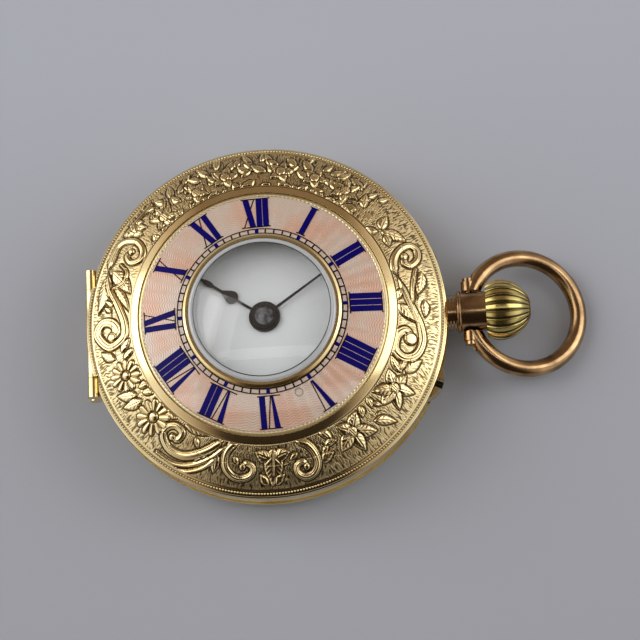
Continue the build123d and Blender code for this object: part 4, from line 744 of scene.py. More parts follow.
@dataclass(frozen=True)
class Numerals:
    """Roman numerals that stand outwards from the centre, with thick and thin strokes and serifs."""

    inner: float
    outer: float
    ground: Ground
    thick: float = 0.55
    thin: float = 0.1
    gap: float = 0.06
    spread: float = 1.2
    serif: float = 0.1
    serif_reach: float = 0.16
    foot_share: float = 0.35
    lift: Place = (0.004, 0.03)
    fine_lift: Place = (0.004, 0.026)
    serif_lift: Place = (0.004, 0.034)
    serif_steps: int = 6
    ahead: float = 0.0

    HOURS = ("I", "II", "III", "IIII", "V", "VI", "VII", "VIII", "IX", "X", "XI", "XII")

    def width_of(self, mark: Mark) -> float:
        """The room that a letter takes."""
        return self.thick if mark is Mark.I else self.spread

    def bars(self, mark: Mark, left: float) -> list[tuple[Place, Place, float]]:
        """A letter's bars as low end, high end and width, with height from zero at the inner end."""
        tall = self.outer - self.inner
        right = left + self.width_of(mark)
        half = self.thick / 2
        if mark is Mark.I:
            return [((left + half, 0), (left + half, tall), self.thick)]
        if mark is Mark.V:
            foot = (left + right) / 2
            return [
                ((foot, 0), (left + half, tall), self.thick),
                ((foot + half / 2, 0), (right - self.thin, tall), self.thin),
            ]
        return [
            ((right - half, 0), (left + half, tall), self.thick),
            ((left + self.thin, 0), (right - self.thin, tall), self.thin),
        ]

    def numeral(self, hour: int) -> tuple[list[Shape], list[Shape]]:
        """The thick strokes of one hour's numeral, and its hairlines and serifs."""
        marks = [Mark(letter) for letter in self.HOURS[hour - 1]]
        total = sum(self.width_of(mark) for mark in marks) + self.gap * (len(marks) - 1)
        turn = math.radians(90 - 30 * hour + self.ahead)
        out = (math.cos(turn), math.sin(turn))
        clockwise = (math.sin(turn), -math.cos(turn))

        def plan(across: float, up: float) -> Place:
            """A place of the numeral in the watch's plan."""
            reach = self.inner + up
            return (out[0] * reach + clockwise[0] * across, out[1] * reach + clockwise[1] * across)

        thick, fine = [], []
        left = -total / 2
        tall = self.outer - self.inner
        for mark in marks:
            for low, high, width in self.bars(mark, left):
                bold = width > self.thin
                foot = width * self.foot_share if mark is Mark.V and bold else width
                kind, lift = (thick, self.lift) if bold else (fine, self.fine_lift)
                kind.append(stroke(plan(*low), plan(*high), (foot, width), lift, self.ground))
            left += self.width_of(mark) + self.gap
        half = total / 2 + self.serif_reach
        width = (self.serif, self.serif)
        for up in [tall] if self.HOURS[hour - 1] == "V" else [0, tall]:
            low, high = plan(-half, up), plan(half, up)
            fine.append(stroke(low, high, width, self.serif_lift, self.ground, self.serif_steps))
        return thick, fine

    def shapes(self) -> tuple[Shape, Shape]:
        """All twelve numerals: their thick strokes as one shape, and their fine ones as another."""
        hours = [self.numeral(hour) for hour in range(1, 13)]
        return tuple(joined([part for hour in hours for part in hour[kind]]) for kind in (0, 1))


@dataclass(frozen=True)
class MinuteTrack:
    """Two fine circles with a line at each minute and a block at each fifth."""

    inner: float
    outer: float
    ground: Ground
    line: float = 0.1
    tick: float = 0.13
    block: float = 0.34
    lift: Place = (0.004, 0.024)
    block_lift: Place = (0.004, 0.03)
    steps: int = 2
    ahead: float = 0.0

    def across(self, minute: int, width: float, lift: Place) -> Shape:
        """A stroke across the track at a minute."""
        turn = math.radians(6 * minute + self.ahead)
        way = (math.cos(turn), math.sin(turn))
        start, end = (way[0] * self.inner, way[1] * self.inner), (way[0] * self.outer, way[1] * self.outer)
        return stroke(start, end, (width, width), lift, self.ground, self.steps)

    def lines(self) -> Shape:
        """The two circles and the minute lines."""
        shapes = [hoop(reach, self.line, self.lift, self.ground) for reach in (self.inner, self.outer)]
        shapes += [self.across(minute, self.tick, self.lift) for minute in range(60) if minute % 5]
        return joined(shapes)

    def blocks(self) -> Shape:
        """The blocks at the hours."""
        return joined([self.across(minute, self.block, self.block_lift) for minute in range(0, 60, 5)])


# Chased relief
class Relief:
    """Heights over a set of plan points, built up motif by motif in millimetres above the ground."""

    # run of a motif's edge, width of the cut round it and how far outside it is, and width of a cut inside
    EDGE = 0.1
    OUTLINE = 0.065
    OUTSIDE = 0.05
    VEIN = 0.05
    # shares: of the outline's cut inside a motif, and of the height that is left under a new one
    LINE_INSIDE = 0.55
    HEIGHT_LEFT = 0.6
    # shares of the full height: cut along a leaf's vein, cuts at its sides, cut along a scroll
    VEIN_DEPTH = 0.32
    SIDE_DEPTH = 0.22
    SCROLL_DEPTH = 0.3
    # distance between a leaf's side cuts
    SIDE_PITCH = 0.42
    # a daisy: shares of its reach for the notches between petals and for its eye, and the eye's groove
    NOTCH = 0.26
    DAISY_EYE = 0.27
    DAISY_GROOVE = 0.06
    # a dotted eye: its radius, how far its outline may reach, and how close its dots stand
    EYE = 0.44
    EYE_REACH = 0.6
    DOTS = 24

    def __init__(self, x: Array, y: Array, raised: float) -> None:
        """Starts flat.

        Args:
            x: plan places.
            y: plan places.
            raised: how far the motifs stand above the ground.
        """
        self.x = x
        self.y = y
        self.raised = raised
        self.height = np.zeros_like(x)
        self.line = np.zeros_like(x)

    def near(self, centre: Place, reach: float) -> Array:
        """The numbers of the points within a reach of a place."""
        return np.flatnonzero((self.x - centre[0]) ** 2 + (self.y - centre[1]) ** 2 < reach**2)

    def lay(self, chosen: Array, height: Array, inside: Array) -> None:
        """Lays a motif over what is there, where it stands higher, and cuts its outline into the rest.

        Args:
            chosen: the points that it may touch.
            height: its height there, one at most.
            inside: how far each point lies within its outline.
        """
        outline = line_of(inside + self.OUTSIDE, self.OUTLINE)
        covered = inside > 0
        deeper = np.maximum(self.line[chosen], outline)
        self.line[chosen] = np.where(covered, self.LINE_INSIDE * outline, deeper)
        under = self.height[chosen] * np.where(covered, self.HEIGHT_LEFT, 1)
        self.height[chosen] = np.maximum(under, self.raised * height)

    def leaf(self, start: Place, end: Place, width: float, bend: float = 0.0) -> None:
        """A pointed leaf as wide as the sine of the way along it, with a cut vein and slanting side cuts."""
        run = np.subtract(end, start)
        length = float(np.hypot(*run))
        way = run / length
        chosen = self.near(tuple(np.add(start, end) / 2), length / 2 + width)
        dx, dy = self.x[chosen] - start[0], self.y[chosen] - start[1]
        along = (dx * way[0] + dy * way[1]) / length
        side = -dx * way[1] + dy * way[0] - bend * 4 * along * (1 - along)
        held = np.clip(along, 0, 1)
        half = width / 2 * np.sin(math.pi * held**0.8) ** 0.9 + 1e-6
        beyond = length * np.maximum(np.maximum(-along, along - 1), 0)
        inside = half - np.abs(side) - beyond
        edge = smooth(inside / self.EDGE)
        ridge = np.clip(inside / half, 0, 1)
        vein = self.VEIN_DEPTH * line_of(side, self.VEIN) * smooth((0.9 - along) / 0.2)
        wave = np.sin(FULL_TURN * (along * length - np.abs(side)) / self.SIDE_PITCH)
        cuts = self.SIDE_DEPTH * np.maximum(0, wave) * (1 - ridge)
        self.lay(chosen, edge * (0.5 + 0.5 * ridge - vein - cuts), inside)

    def daisy(self, centre: Place, reach: float, petals: int, turn: float = 0.0) -> None:
        """A round flower: petals by the cosine of the angle, and a domed eye in a groove."""
        chosen = self.near(centre, reach * 1.2)
        dx, dy = self.x[chosen] - centre[0], self.y[chosen] - centre[1]
        out = np.hypot(dx, dy)
        wave = np.abs(np.cos(petals * (np.arctan2(dy, dx) + turn) / 2))
        inside = reach * (1 - self.NOTCH + self.NOTCH * wave**0.8) - out
        edge = smooth(inside / self.EDGE)
        petal = edge * (0.15 + 0.85 * wave**0.7) * (0.6 + 0.4 * out / reach)
        eye = reach * self.DAISY_EYE
        dome = 1.1 * np.sqrt(np.maximum(1 - (out / eye) ** 2, 0))
        height = np.where(out < eye * 1.3, dome, petal)
        self.lay(chosen, height, inside)
        gaps = smooth((0.3 - wave) / 0.2) * edge * (out > eye * 1.3)
        ring = line_of(out - eye * 1.15, self.DAISY_GROOVE)
        self.line[chosen] = np.maximum(self.line[chosen], 0.8 * np.maximum(gaps, ring))

    def blossom(self, centre: Place, tips: Sequence[Place], width: float) -> None:
        """A flower of pointed petals around a dotted eye."""
        for tip in tips:
            self.leaf(centre, tip, width)
        chosen = self.near(centre, self.EYE_REACH)
        dx, dy = self.x[chosen] - centre[0], self.y[chosen] - centre[1]
        dots = 0.5 + 0.5 * np.cos(dx * self.DOTS) * np.cos(dy * self.DOTS)
        inside = self.EYE - np.hypot(dx, dy)
        self.lay(chosen, smooth(inside / self.EDGE) * (0.75 + 0.35 * dots), inside)

    def star(self, centre: Place, reach: float, petals: int, turn: float, width: float) -> None:
        """A blossom with its petals evenly spread."""
        angles = turn + np.arange(petals) * FULL_TURN / petals
        ways = [(math.cos(angle), math.sin(angle)) for angle in angles]
        tips = [(centre[0] + reach * across, centre[1] + reach * up) for across, up in ways]
        self.blossom(centre, tips, width)

    def scroll(self, places: tuple[Place, ...], wide: Place, eye: float = 0.0) -> None:
        """A band along a smooth curve through places, with a cut beside its middle and an eye at its end.

        Args:
            places: the curve's points.
            wide: the band's width at its start and its end.
            eye: the radius of the boss at its end.
        """
        line = smooth_line(places)
        centre = tuple(line.mean(axis=0))
        reach = float(np.hypot(*(line - centre).T).max()) + max(wide)
        chosen = self.near(centre, reach)
        far, share = distance_to(self.x[chosen], self.y[chosen], line)
        half = (wide[0] + (wide[1] - wide[0]) * share) / 2 * smooth(share / 0.12 + 0.1)
        inside = half - far
        round_top = np.sqrt(np.clip(inside / (half + 1e-6), 0, 1))
        groove = self.SCROLL_DEPTH * line_of(far - 0.5 * half, self.VEIN)
        self.lay(chosen, smooth(inside / self.EDGE) * (0.55 + 0.45 * round_top - groove), inside)
        if eye:
            end = tuple(line[-1])
            chosen = self.near(end, eye * 1.4)
            inside = eye - np.hypot(self.x[chosen] - end[0], self.y[chosen] - end[1])
            dome = 0.7 + 0.4 * np.sqrt(np.clip(inside / eye, 0, 1))
            self.lay(chosen, smooth(inside / self.EDGE) * dome, inside)


def smooth_line(places: tuple[Place, ...], steps: int = 10) -> Array:
    """A curve through places: between two, the cubic whose slopes are half the step across each place."""
    given = np.array(places)
    before = np.vstack([2 * given[0] - given[1], given[:-1]])
    after = np.vstack([given[1:], 2 * given[-1] - given[-2]])
    slope = (after - before) / 2
    t = np.linspace(0, 1, steps, endpoint=False)[None, :, None]
    start, end = given[:-1, None], given[1:, None]
    begin, finish = slope[:-1, None], slope[1:, None]
    line = (2 * t**3 - 3 * t**2 + 1) * start + (t**3 - 2 * t**2 + t) * begin
    line = line + (3 * t**2 - 2 * t**3) * end + (t**3 - t**2) * finish
    return np.vstack([line.reshape(-1, 2), given[-1]])


def distance_to(x: Array, y: Array, line: Array) -> tuple[Array, Array]:
    """The distance from each point to a line of short runs, and how far along it the nearest place is.

    Args:
        x: plan places.
        y: plan places.
        line: the line's points, one to a row.

    Returns:
        The distances, and the shares of the line's length.
    """
    start, run = line[:-1], np.diff(line, axis=0)
    span = np.hypot(run[:, 0], run[:, 1])
    done = np.concatenate([[0], np.cumsum(span)])
    dx, dy = x[:, None] - start[None, :, 0], y[:, None] - start[None, :, 1]
    share = np.clip((dx * run[:, 0] + dy * run[:, 1]) / span**2, 0, 1)
    far = np.hypot(dx - share * run[:, 0], dy - share * run[:, 1])
    nearest = far.argmin(axis=1)
    rows = np.arange(len(x))
    return far[rows, nearest], (done[nearest] + share[rows, nearest] * span[nearest]) / done[-1]


def thrown(radius: float, angle: float, heading: float, length: float) -> tuple[Place, Place]:
    """The ends of a leaf that starts at a radius and an angle, from its heading and its length."""
    start = (radius * math.cos(angle), radius * math.sin(angle))
    return start, (start[0] + length * math.cos(heading), start[1] + length * math.sin(heading))


@dataclass(frozen=True)
class ChasedCover:
    """The chased front of the gold cover: polished bevel, flowers and scrolls on a hatched ground, beads."""

    # the skin's inner and outer radius, and the part cut away for the hinge
    inner: float = 11.72
    outer: float = 16.88
    knuckle_half: float = 4.28
    hinge_flat: float = 15.97
    hinge_half: float = 6.28
    # its underside, its ground and its motifs, from the dome's arc
    under: float = 0.08
    ground: float = 0.03
    raised: float = 0.2
    # the polished bevel, the field of motifs, and the seam between the two pieces of skin
    bevel_end: float = 12.42
    bevel_rise: float = 0.12
    field_start: float = 12.55
    field_end: float = 16.34
    fade: float = 0.1
    seam: float = 14.3
    columns: int = 1800
    rows: int = 53
    # the beads, and the width of the bed round them that is darkened with painted shade
    bead_ring: float = 16.62
    bead_pitch: float = 0.28
    bead_radius: float = 0.115
    bed_width: float = 0.15
    # cut lines, and the share of a motif's height under which the ground counts as bare
    line_width: float = 0.05
    line_depth: float = 0.03
    bare_share: float = 0.3
    # how much painted shade darkens each kind of recess: the cuts, the bare ground beside them, the bevel's
    # groove, and the bed under the beads
    shade_in_cuts: float = 0.95
    shade_beside_cuts: float = 0.35
    shade_in_groove: float = 0.8
    shade_under_beads: float = 0.85
    # the hatching: its strength near the middle, what it gains outwards, and where; it sets the strokes' bump
    # and their painted shade
    hatch: float = 0.7
    hatch_gain: float = 0.3
    hatch_start: float = 14.9
    hatch_run: float = 0.4

    # the spray: its seed, how many leaves, its angles in degrees, and its rows' place, step and sway
    SPRAY_SEED = 12
    SPRAY_COUNT = 93
    SPRAY_ANGLES = (143, 44)
    SPRAY_ROWS = 3
    FIRST_ROW = 12.95
    ROW_STEP = 1.05
    ROW_SWAY = 0.3
    # how its leaves are thrown: lean from the row, length, width and bend
    SPRAY_LEAN = (0.35, 1.25)
    SPRAY_LENGTH = (1.1, 1.75)
    SPRAY_WIDTH = (0.55, 0.85)
    SPRAY_BEND = 0.15
    # the filling: its seed, its angles and step in degrees, how its leaves are thrown, and the room they need
    FILL_SEED = 7
    FILL_ANGLES = ((196, 262), (276, 325), (335, 382), (146, 178))
    FILL_STEP = 2.4
    FILL_RADII = (12.9, 14.9)
    FILL_LEAN = (0.5, 1.4)
    FILL_LENGTH = (0.8, 1.2)
    FILL_WIDTH = 0.5
    FILL_ROOM = 0.35
    # each scroll: its width at both ends, the radius of its eye, and its places
    SCROLLS = (
        ((0.7, 0.55), 0.3, (
            (-14.63, 5.51), (-14.3, 6.49), (-13.9, 7.39), (-13.45, 8.06), (-12.68, 8.3), (-11.75, 8.03),
            (-11.19, 7.23), (-11.17, 6.49), (-11.65, 5.98), (-12.38, 6.0), (-12.7, 6.7), (-12.25, 7.07),
        )),
        ((0.5, 0.95), 0.42, (
            (-14.63, 5.51), (-14.44, 3.6), (-13.69, 1.82), (-13.08, -0.01), (-13.23, -1.38), (-14.62, -2.02),
            (-15.77, -0.66), (-15.27, 0.34), (-14.34, 0.23), (-13.8, -0.55), (-14.33, -1.17),
        )),
        ((0.7, 0.6), 0.34, (
            (12.6, 2.84), (12.36, 3.64), (12.45, 4.65), (13.0, 5.56), (13.79, 5.99), (14.46, 5.59),
            (14.52, 4.71), (13.93, 3.98), (13.35, 4.14), (13.33, 4.86),
        )),
        ((0.5, 0.9), 0.58, (
            (12.6, 2.84), (13.17, 1.39), (13.9, -0.33), (14.49, -1.91), (14.58, -3.4), (13.92, -4.65),
            (12.82, -4.94), (12.05, -4.18), (12.25, -2.96), (13.06, -2.42), (13.5, -3.2),
        )),
        ((0.85, 0.6), 0.32, (
            (-4.03, -11.71), (-5.56, -12.51), (-7.33, -12.84), (-8.49, -12.62), (-9.47, -11.87),
            (-9.85, -10.77), (-9.32, -10.12), (-8.5, -10.14), (-7.99, -10.79), (-8.42, -11.33),
            (-8.98, -11.05),
        )),
        ((0.8, 0.5), 0.3, (
            (2.32, -12.26), (3.4, -12.58), (4.12, -13.34), (4.38, -14.27), (3.97, -15.07), (3.16, -15.4),
            (2.46, -15.05), (2.43, -14.42), (3.0, -14.1), (3.33, -14.53),
        )),
        ((0.8, 0.5), 0.3, (
            (-2.65, -11.96), (-3.58, -12.46), (-4.13, -13.2), (-4.22, -14.13), (-3.66, -14.93),
            (-2.84, -15.23), (-1.92, -15.02), (-1.64, -14.41), (-2.16, -13.99), (-2.6, -14.26),
        )),
        ((0.5, 0.3), 0, ((-3.9, -12.3), (-5.4, -13.2), (-7.3, -13.6), (-9.0, -13.3), (-10.6, -12.1))),
        ((0.45, 0.25), 0, ((-4.9, -13.3), (-6.4, -14.0), (-8.0, -14.1), (-9.4, -13.7))),
        ((0.5, 0.3), 0, ((-10.2, 12.0), (-11.6, 10.5), (-12.9, 8.9))),
        ((0.4, 0.4), 0, ((13.9, 0.2), (14.0, 2.0), (14.3, 3.6))),
        ((0.4, 0.3), 0, ((-14.3, 3.6), (-13.1, 3.9), (-12.75, 5.0), (-13.3, 5.9))),
    )
    # leaves: how much wider than listed they are, their bend, and each one's two ends and width
    LEAF_WIDER = 1.25
    LEAF_BEND = 0.1
    LEAVES = (
        (-14.5, 5.21, -15.67, 1.3, 1.0), (-14.18, 5.4, -12.37, 2.78, 1.1), (-13.98, 3.8, -12.55, 1.06, 0.6),
        (-13.11, 8.92, -11.37, 9.49, 0.8), (-11.87, 9.05, -12.24, 10.74, 0.7),
        (-13.43, -2.74, -12.52, -1.51, 0.6), (-13.26, -3.46, -12.03, -2.43, 0.5),
        (-14.06, -3.31, -15.5, -2.35, 0.7), (-12.06, -6.88, -14.11, -6.66, 0.8),
        (-11.62, -7.4, -13.59, -7.81, 0.8), (-11.91, -6.26, -10.52, -5.89, 0.6),
        (-11.55, -6.75, -10.29, -6.88, 0.6), (-9.96, -7.86, -8.47, -8.68, 0.7),
        (-9.44, -8.86, -8.36, -9.53, 0.6), (-7.68, -10.14, -4.85, -11.3, 1.0),
        (-5.77, -12.7, -7.43, -13.76, 0.8), (-5.13, -12.79, -5.4, -14.58, 0.8),
        (0.32, -12.9, 0.02, -16.09, 1.4), (0.54, -13.69, 1.88, -13.24, 0.9),
        (-0.02, -13.66, -1.3, -13.06, 0.9), (0.39, -15.92, 1.24, -15.08, 0.6),
        (-0.3, -15.88, -0.98, -14.96, 0.6), (4.6, -11.46, 5.87, -12.44, 0.6),
        (5.12, -12.84, 6.25, -12.34, 0.5), (4.73, -14.19, 5.89, -13.37, 0.7),
        (9.72, -10.7, 11.8, -10.68, 0.7), (8.49, -9.38, 8.7, -10.45, 0.5), (9.2, -8.64, 9.57, -9.59, 0.5),
        (12.53, -6.36, 11.65, -4.74, 0.6), (12.87, -6.35, 14.44, -5.07, 0.8),
        (12.38, -6.19, 13.28, -4.87, 0.5), (14.82, 3.41, 14.39, 1.07, 0.8), (12.55, 0.1, 14.1, -1.65, 0.9),
        (12.82, 1.67, 12.39, 0.48, 0.5), (14.95, 0.63, 14.95, -1.11, 0.6), (11.32, 7.3, 13.54, 6.43, 0.9),
        (11.01, 7.29, 9.59, 7.73, 0.6), (11.33, 7.54, 11.93, 9.0, 0.8), (11.58, 6.89, 12.0, 5.76, 0.6),
    )
    # each daisy: its middle, its reach, its number of petals and its turn
    DAISIES = (((-13.1, -4.95), 1.5, 12, 0.0), ((-10.66, -9.06), 1.65, 12, 0.2))
    # stars: the width of their petals, and each one's middle, reach and number of petals
    STAR_WIDTH = 0.8
    STARS = (
        ((8.12, 11.68), 1.5, 6), ((2.16, 13.99), 1.25, 5), ((-3.18, 13.77), 1.3, 5),
        ((-9.03, 10.17), 1.45, 6), ((-5.9, 12.35), 1.2, 5), ((5.3, 13.1), 1.15, 5),
    )
    # each blossom: its middle, the tips of its petals and their width
    BLOSSOMS = (
        ((7.67, -11.62), ((8.13, -9.83), (9.97, -11.5), (8.84, -13.25), (6.56, -13.37), (6.2, -11.2)), 1.15),
        ((11.74, -7.73), (
            (11.35, -6.01), (12.95, -6.53), (13.58, -8.17), (12.09, -9.73), (10.49, -9.35), (9.67, -8.11),
        ), 1.05),
    )

    def reach(self, angle: Array) -> Array:
        """The outer edge at an angle: the rim, cut flat where the case's knuckles stand."""
        side = self.outer * np.abs(np.sin(angle))
        beside = (np.cos(angle) < 0) & (side > self.knuckle_half) & (side < self.hinge_half)
        flat = self.hinge_flat / np.maximum(np.abs(np.cos(angle)), 0.1)
        return np.where(beside, np.minimum(self.outer, flat), self.outer)

    def spray(self, relief: Relief) -> None:
        """The dense spray across the top: crossing leaves in three rows, thrown by a seeded generator."""
        dice = np.random.default_rng(self.SPRAY_SEED)
        for index, angle in enumerate(np.radians(np.linspace(*self.SPRAY_ANGLES, self.SPRAY_COUNT))):
            row = index % self.SPRAY_ROWS
            radius = self.FIRST_ROW + self.ROW_STEP * row + dice.uniform(-self.ROW_SWAY, self.ROW_SWAY)
            lean = dice.choice([-1, 1]) * dice.uniform(*self.SPRAY_LEAN)
            length = dice.uniform(*self.SPRAY_LENGTH)
            start, tip = thrown(radius, angle, angle + lean if row else angle + math.pi + lean, length)
            relief.leaf(start, tip, dice.uniform(*self.SPRAY_WIDTH), self.SPRAY_BEND * dice.uniform(-1, 1))
        for middle, size, petals in self.STARS:
            relief.star(middle, size, petals, size * 3, self.STAR_WIDTH)

    def filling(self, relief: Relief) -> None:
        """Small leaves between the flowers and scrolls, where the places thrown are still bare."""
        dice = np.random.default_rng(self.FILL_SEED)
        for low, high in self.FILL_ANGLES:
            for angle in np.radians(np.arange(low, high, self.FILL_STEP)):
                radius = dice.uniform(*self.FILL_RADII)
                heading = angle + dice.choice([-1, 1]) * dice.uniform(*self.FILL_LEAN)
                start, tip = thrown(radius, angle, heading, dice.uniform(*self.FILL_LENGTH))
                chosen = relief.near(((start[0] + tip[0]) / 2, (start[1] + tip[1]) / 2), self.FILL_ROOM)
                if len(chosen) and relief.height[chosen].max() < self.bare_share * self.raised:
                    relief.leaf(start, tip, self.FILL_WIDTH)

    def relief(self, x: Array, y: Array) -> Relief:
        """Lays every motif on the field."""
        relief = Relief(x, y, self.raised)
        self.spray(relief)
        for x0, y0, x1, y1, width in self.LEAVES:
            relief.leaf((x0, y0), (x1, y1), self.LEAF_WIDER * width, self.LEAF_BEND)
        for wide, eye, places in self.SCROLLS:
            relief.scroll(places, wide, eye)
        for daisy in self.DAISIES:
            relief.daisy(*daisy)
        for blossom in self.BLOSSOMS:
            relief.blossom(*blossom)
        self.filling(relief)
        return relief

    def surface(self, low: Array, high: Array) -> tuple[Shape, dict[str, Array]]:
        """A ring of the skin over the struck dome, and its marks.

        The face is the dome's arc turned about the axis and moved along its normal by the relief:
        hatched ground, motifs on it, a bevel inside with a cut groove at its end, and a raised line at the
        field's outer edge; the beads' bed is only darkened with painted shade. Two more rows under the
        dome's face close it.

        Args:
            low: the ring's inner edge at each angle.
            high: its outer edge at each angle.

        Returns:
            The closed shape, and the marks for the painted shade in the cuts and recesses, and for the
            ground.
        """
        angle = turn_of(self.columns)
        share = np.linspace(0, 1, self.rows)[:, None]
        radius = low + share * (high - low)
        x, y = radius * np.cos(angle), radius * np.sin(angle)
        relief = self.relief(x.ravel(), y.ravel())
        field = smooth((radius - self.field_start) / self.fade)
        field = field * smooth((self.field_end - radius) / self.fade)
        work = relief.height.reshape(x.shape) * field
        line = relief.line.reshape(x.shape) * field
        bare = 1 - smooth(work / (self.bare_share * self.raised))
        bevel = self.bevel_rise * (1 - (radius - self.inner) / (self.bevel_end - self.inner))
        bevel = np.maximum(bevel, 0)
        groove = line_of(radius - self.bevel_end - self.line_width, self.line_width)
        rim_line = line_of(radius - self.field_end - self.line_width, self.line_width)
        cuts = self.line_depth * line + self.line_depth * groove
        height = self.ground + work + bevel - cuts + self.line_depth * rim_line
        across, up = COVER_ARC.normal(radius)
        level = COVER_ARC.height(radius)
        face = ring_points(radius + height * across, angle, level + height * up).reshape(-1, 3)
        under = [ring_points(radius[row], angle, level[row] - self.under) for row in (self.rows - 1, 0)]
        points = np.concatenate([face] + under)
        faces = outward(points, quads(self.rows + 2, self.columns, True, True))
        # painted shade: the cuts, the bare ground beside them, the bevel's groove and the bed under the beads
        # are darkened
        beside = self.shade_beside_cuts * bare * field * smooth(line / 0.2)
        bed = np.exp(-(((radius - self.bead_ring) / self.bed_width) ** 4))
        painted_shade = self.shade_in_cuts * line + beside + self.shade_in_groove * groove + self.shade_under_beads * bed
        gain = self.hatch_gain * smooth((radius - self.hatch_start) / self.hatch_run)
        hatched = bare * field * (self.hatch + gain)
        spare = np.zeros(2 * self.columns)
        values = {"cut": np.clip(painted_shade, 0, 1), "ground": hatched}
        return (points, faces), {name: np.concatenate([each.ravel(), spare]) for name, each in values.items()}

    def beads(self) -> Shape:
        """The row of beads at the rim, left out over the hinge."""
        count = round(FULL_TURN * self.bead_ring / self.bead_pitch)
        angle = np.arange(count) * FULL_TURN / count
        side = self.bead_ring * np.abs(np.sin(angle))
        outside = self.bead_ring * np.abs(np.cos(angle)) > self.hinge_flat - self.bead_radius
        keep = ~((np.cos(angle) < 0) & (side > self.knuckle_half - self.bead_radius) & outside)
        angle = angle[keep]
        across, up = COVER_ARC.normal(self.bead_ring)
        out = ring_points(across, angle, up)
        side = np.stack([-np.sin(angle), np.cos(angle), np.zeros_like(angle)], axis=-1)
        turns = np.stack([side, np.cross(out, side), out], axis=-1)
        places = ring_points(self.bead_ring, angle, COVER_ARC.height(self.bead_ring))
        return copied(dome_bead(self.bead_radius, self.ground), places + out * self.ground, turns)

    def build(self, finishes: Finishes) -> None:
        """Makes the chased skin in two rings, and the beads."""
        angle = turn_of(self.columns)
        inner, seam = np.full_like(angle, self.inner), np.full_like(angle, self.seam)
        for name, low, high in (
            ("front_cover_inner_chasing", inner, seam),
            ("front_cover_outer_chasing", seam, self.reach(angle)),
        ):
            shape, marks = self.surface(low, high)
            skin = piece(name, shape, finishes["chased_gold"], "front_cover", marks=marks)
            # the face is rounded; the walls and the underside, which come after it, are flat
            rounded = np.ones(len(skin.data.polygons), dtype=bool)
            rounded[(self.rows - 1) * self.columns :] = False
            skin.data.polygons.foreach_set("use_smooth", rounded)
        piece("front_cover_beads", self.beads(), finishes["yellow_gold"], "front_cover")


@dataclass(frozen=True)
class ChapterRing:
    """The paint and gilding on the enamel ring of the front cover, which sits a little turned in its seat."""

    numeral_inner: float = 8.16
    numeral_outer: float = 11.12
    track_inner: float = 7.5
    track_outer: float = 7.95
    edge_inner: float = 11.3
    edge_outer: float = 11.69
    edge_scallops: int = 180
    scallop_depth: float = 0.06
    rib_height: float = 0.012
    turned: float = 1.7
    # the edge's heights over the enamel: foot and top of the scallops, crest, and top and foot of the rim
    edge_lifts: tuple[float, ...] = (0.004, 0.02, 0.05, 0.03, -0.02)
    mark_place: Place = (3.06, -7.95)
    mark_radius: float = 0.36
    mark_width: float = 0.07
    mark_lift: Place = (0.004, 0.02)
    mark_columns: int = 40

    def edge(self) -> Shape:
        """The gilt edge: a thin ring whose inner side runs in small scallops."""
        columns = self.edge_scallops * 8
        angle = turn_of(columns)
        low = self.edge_inner + self.scallop_depth * np.abs(np.sin(angle * self.edge_scallops / 2))
        middle, high = (self.edge_inner + self.edge_outer) / 2, self.edge_outer
        foot, top, crest, rim, under = self.edge_lifts
        crest = crest + self.rib_height * np.sin(angle * self.edge_scallops)
        section = ((low, foot), (low, top), (middle, crest), (high, rim), (high, under))
        rows = [on_enamel(reach * np.cos(angle), reach * np.sin(angle), lift) for reach, lift in section]
        points = np.concatenate(rows)
        return points, outward(points, quads(len(rows), columns, True, True))

    def build(self, finishes: Finishes) -> None:
        """Makes the numerals, the track, the gilt edge and the small mark in the glaze."""
        numerals = Numerals(self.numeral_inner, self.numeral_outer, on_enamel, ahead=self.turned)
        track = MinuteTrack(self.track_inner, self.track_outer, on_enamel, ahead=self.turned)
        body, slot = "front_cover", "pink_enamel"
        thick, fine = numerals.shapes()
        piece("hour_numerals", thick, finishes["cobalt_paint"], body, rounded=False)
        piece("hour_numeral_hairlines", fine, finishes["black_paint"], body, rounded=False)
        piece("minute_track", track.lines(), finishes["black_paint"], body, rounded=False)
        piece("hour_blocks", track.blocks(), finishes["cobalt_paint"], body, rounded=False)
        piece("enamel_gilt_edge", self.edge(), finishes["edge_gilding"], body)
        size = (self.mark_radius, self.mark_width, self.mark_lift)
        mark = hoop(*size, on_enamel, self.mark_place, self.mark_columns)
        piece("glaze_ring_mark", mark, finishes["glaze_mark"], body, rounded=False)


@dataclass(frozen=True)
class InnerDial:
    """The paint on the dial inside, seen whole when the cover is open."""

    level: float = 6.7
    numeral_inner: float = 8.1
    numeral_outer: float = 10.5
    track_inner: float = 10.95
    track_outer: float = 11.35
    thick: float = 0.38
    spread: float = 0.95
    block: float = 0.2

    def build(self, finishes: Finishes) -> None:
        """Makes the black numerals and track."""
        ground = on_level(self.level)
        reach = (self.numeral_inner, self.numeral_outer)
        numerals = Numerals(*reach, ground, thick=self.thick, spread=self.spread)
        track = MinuteTrack(self.track_inner, self.track_outer, ground, block=self.block)
        both = joined([track.lines(), track.blocks()])
        for name, shape in (("dial_numerals", joined(list(numerals.shapes()))), ("dial_track", both)):
            piece(name, shape, finishes["black_paint"], "case", rounded=False)


@dataclass(frozen=True)
class HandBosses:
    """The turned steel caps in the middle of the hands: a ringed cap over the cannon, and the hour's bead."""

    cap: tuple[Place, ...] = (
        (0.0, 7.43), (0.1, 7.43), (0.14, 7.4), (0.34, 7.405), (0.4, 7.43), (0.46, 7.405),
        (0.68, 7.4), (0.78, 7.42), (0.88, 7.38), (0.92, 7.3), (0.0, 7.3),
    )
    bead: tuple[Place, ...] = (
        (1.24, 7.04), (1.3, 7.07), (1.36, 7.1), (1.42, 7.105), (1.47, 7.08), (1.49, 7.04)
    )

    def build(self, finishes: Finishes) -> None:
        """Makes the cap on the minute hand and the bead on the hour hand."""
        piece("minute_hand_cap", turned(self.cap), finishes["worn_steel"], "centre")
        piece("hour_hand_bead", turned(self.bead), finishes["black_steel"], "hour")


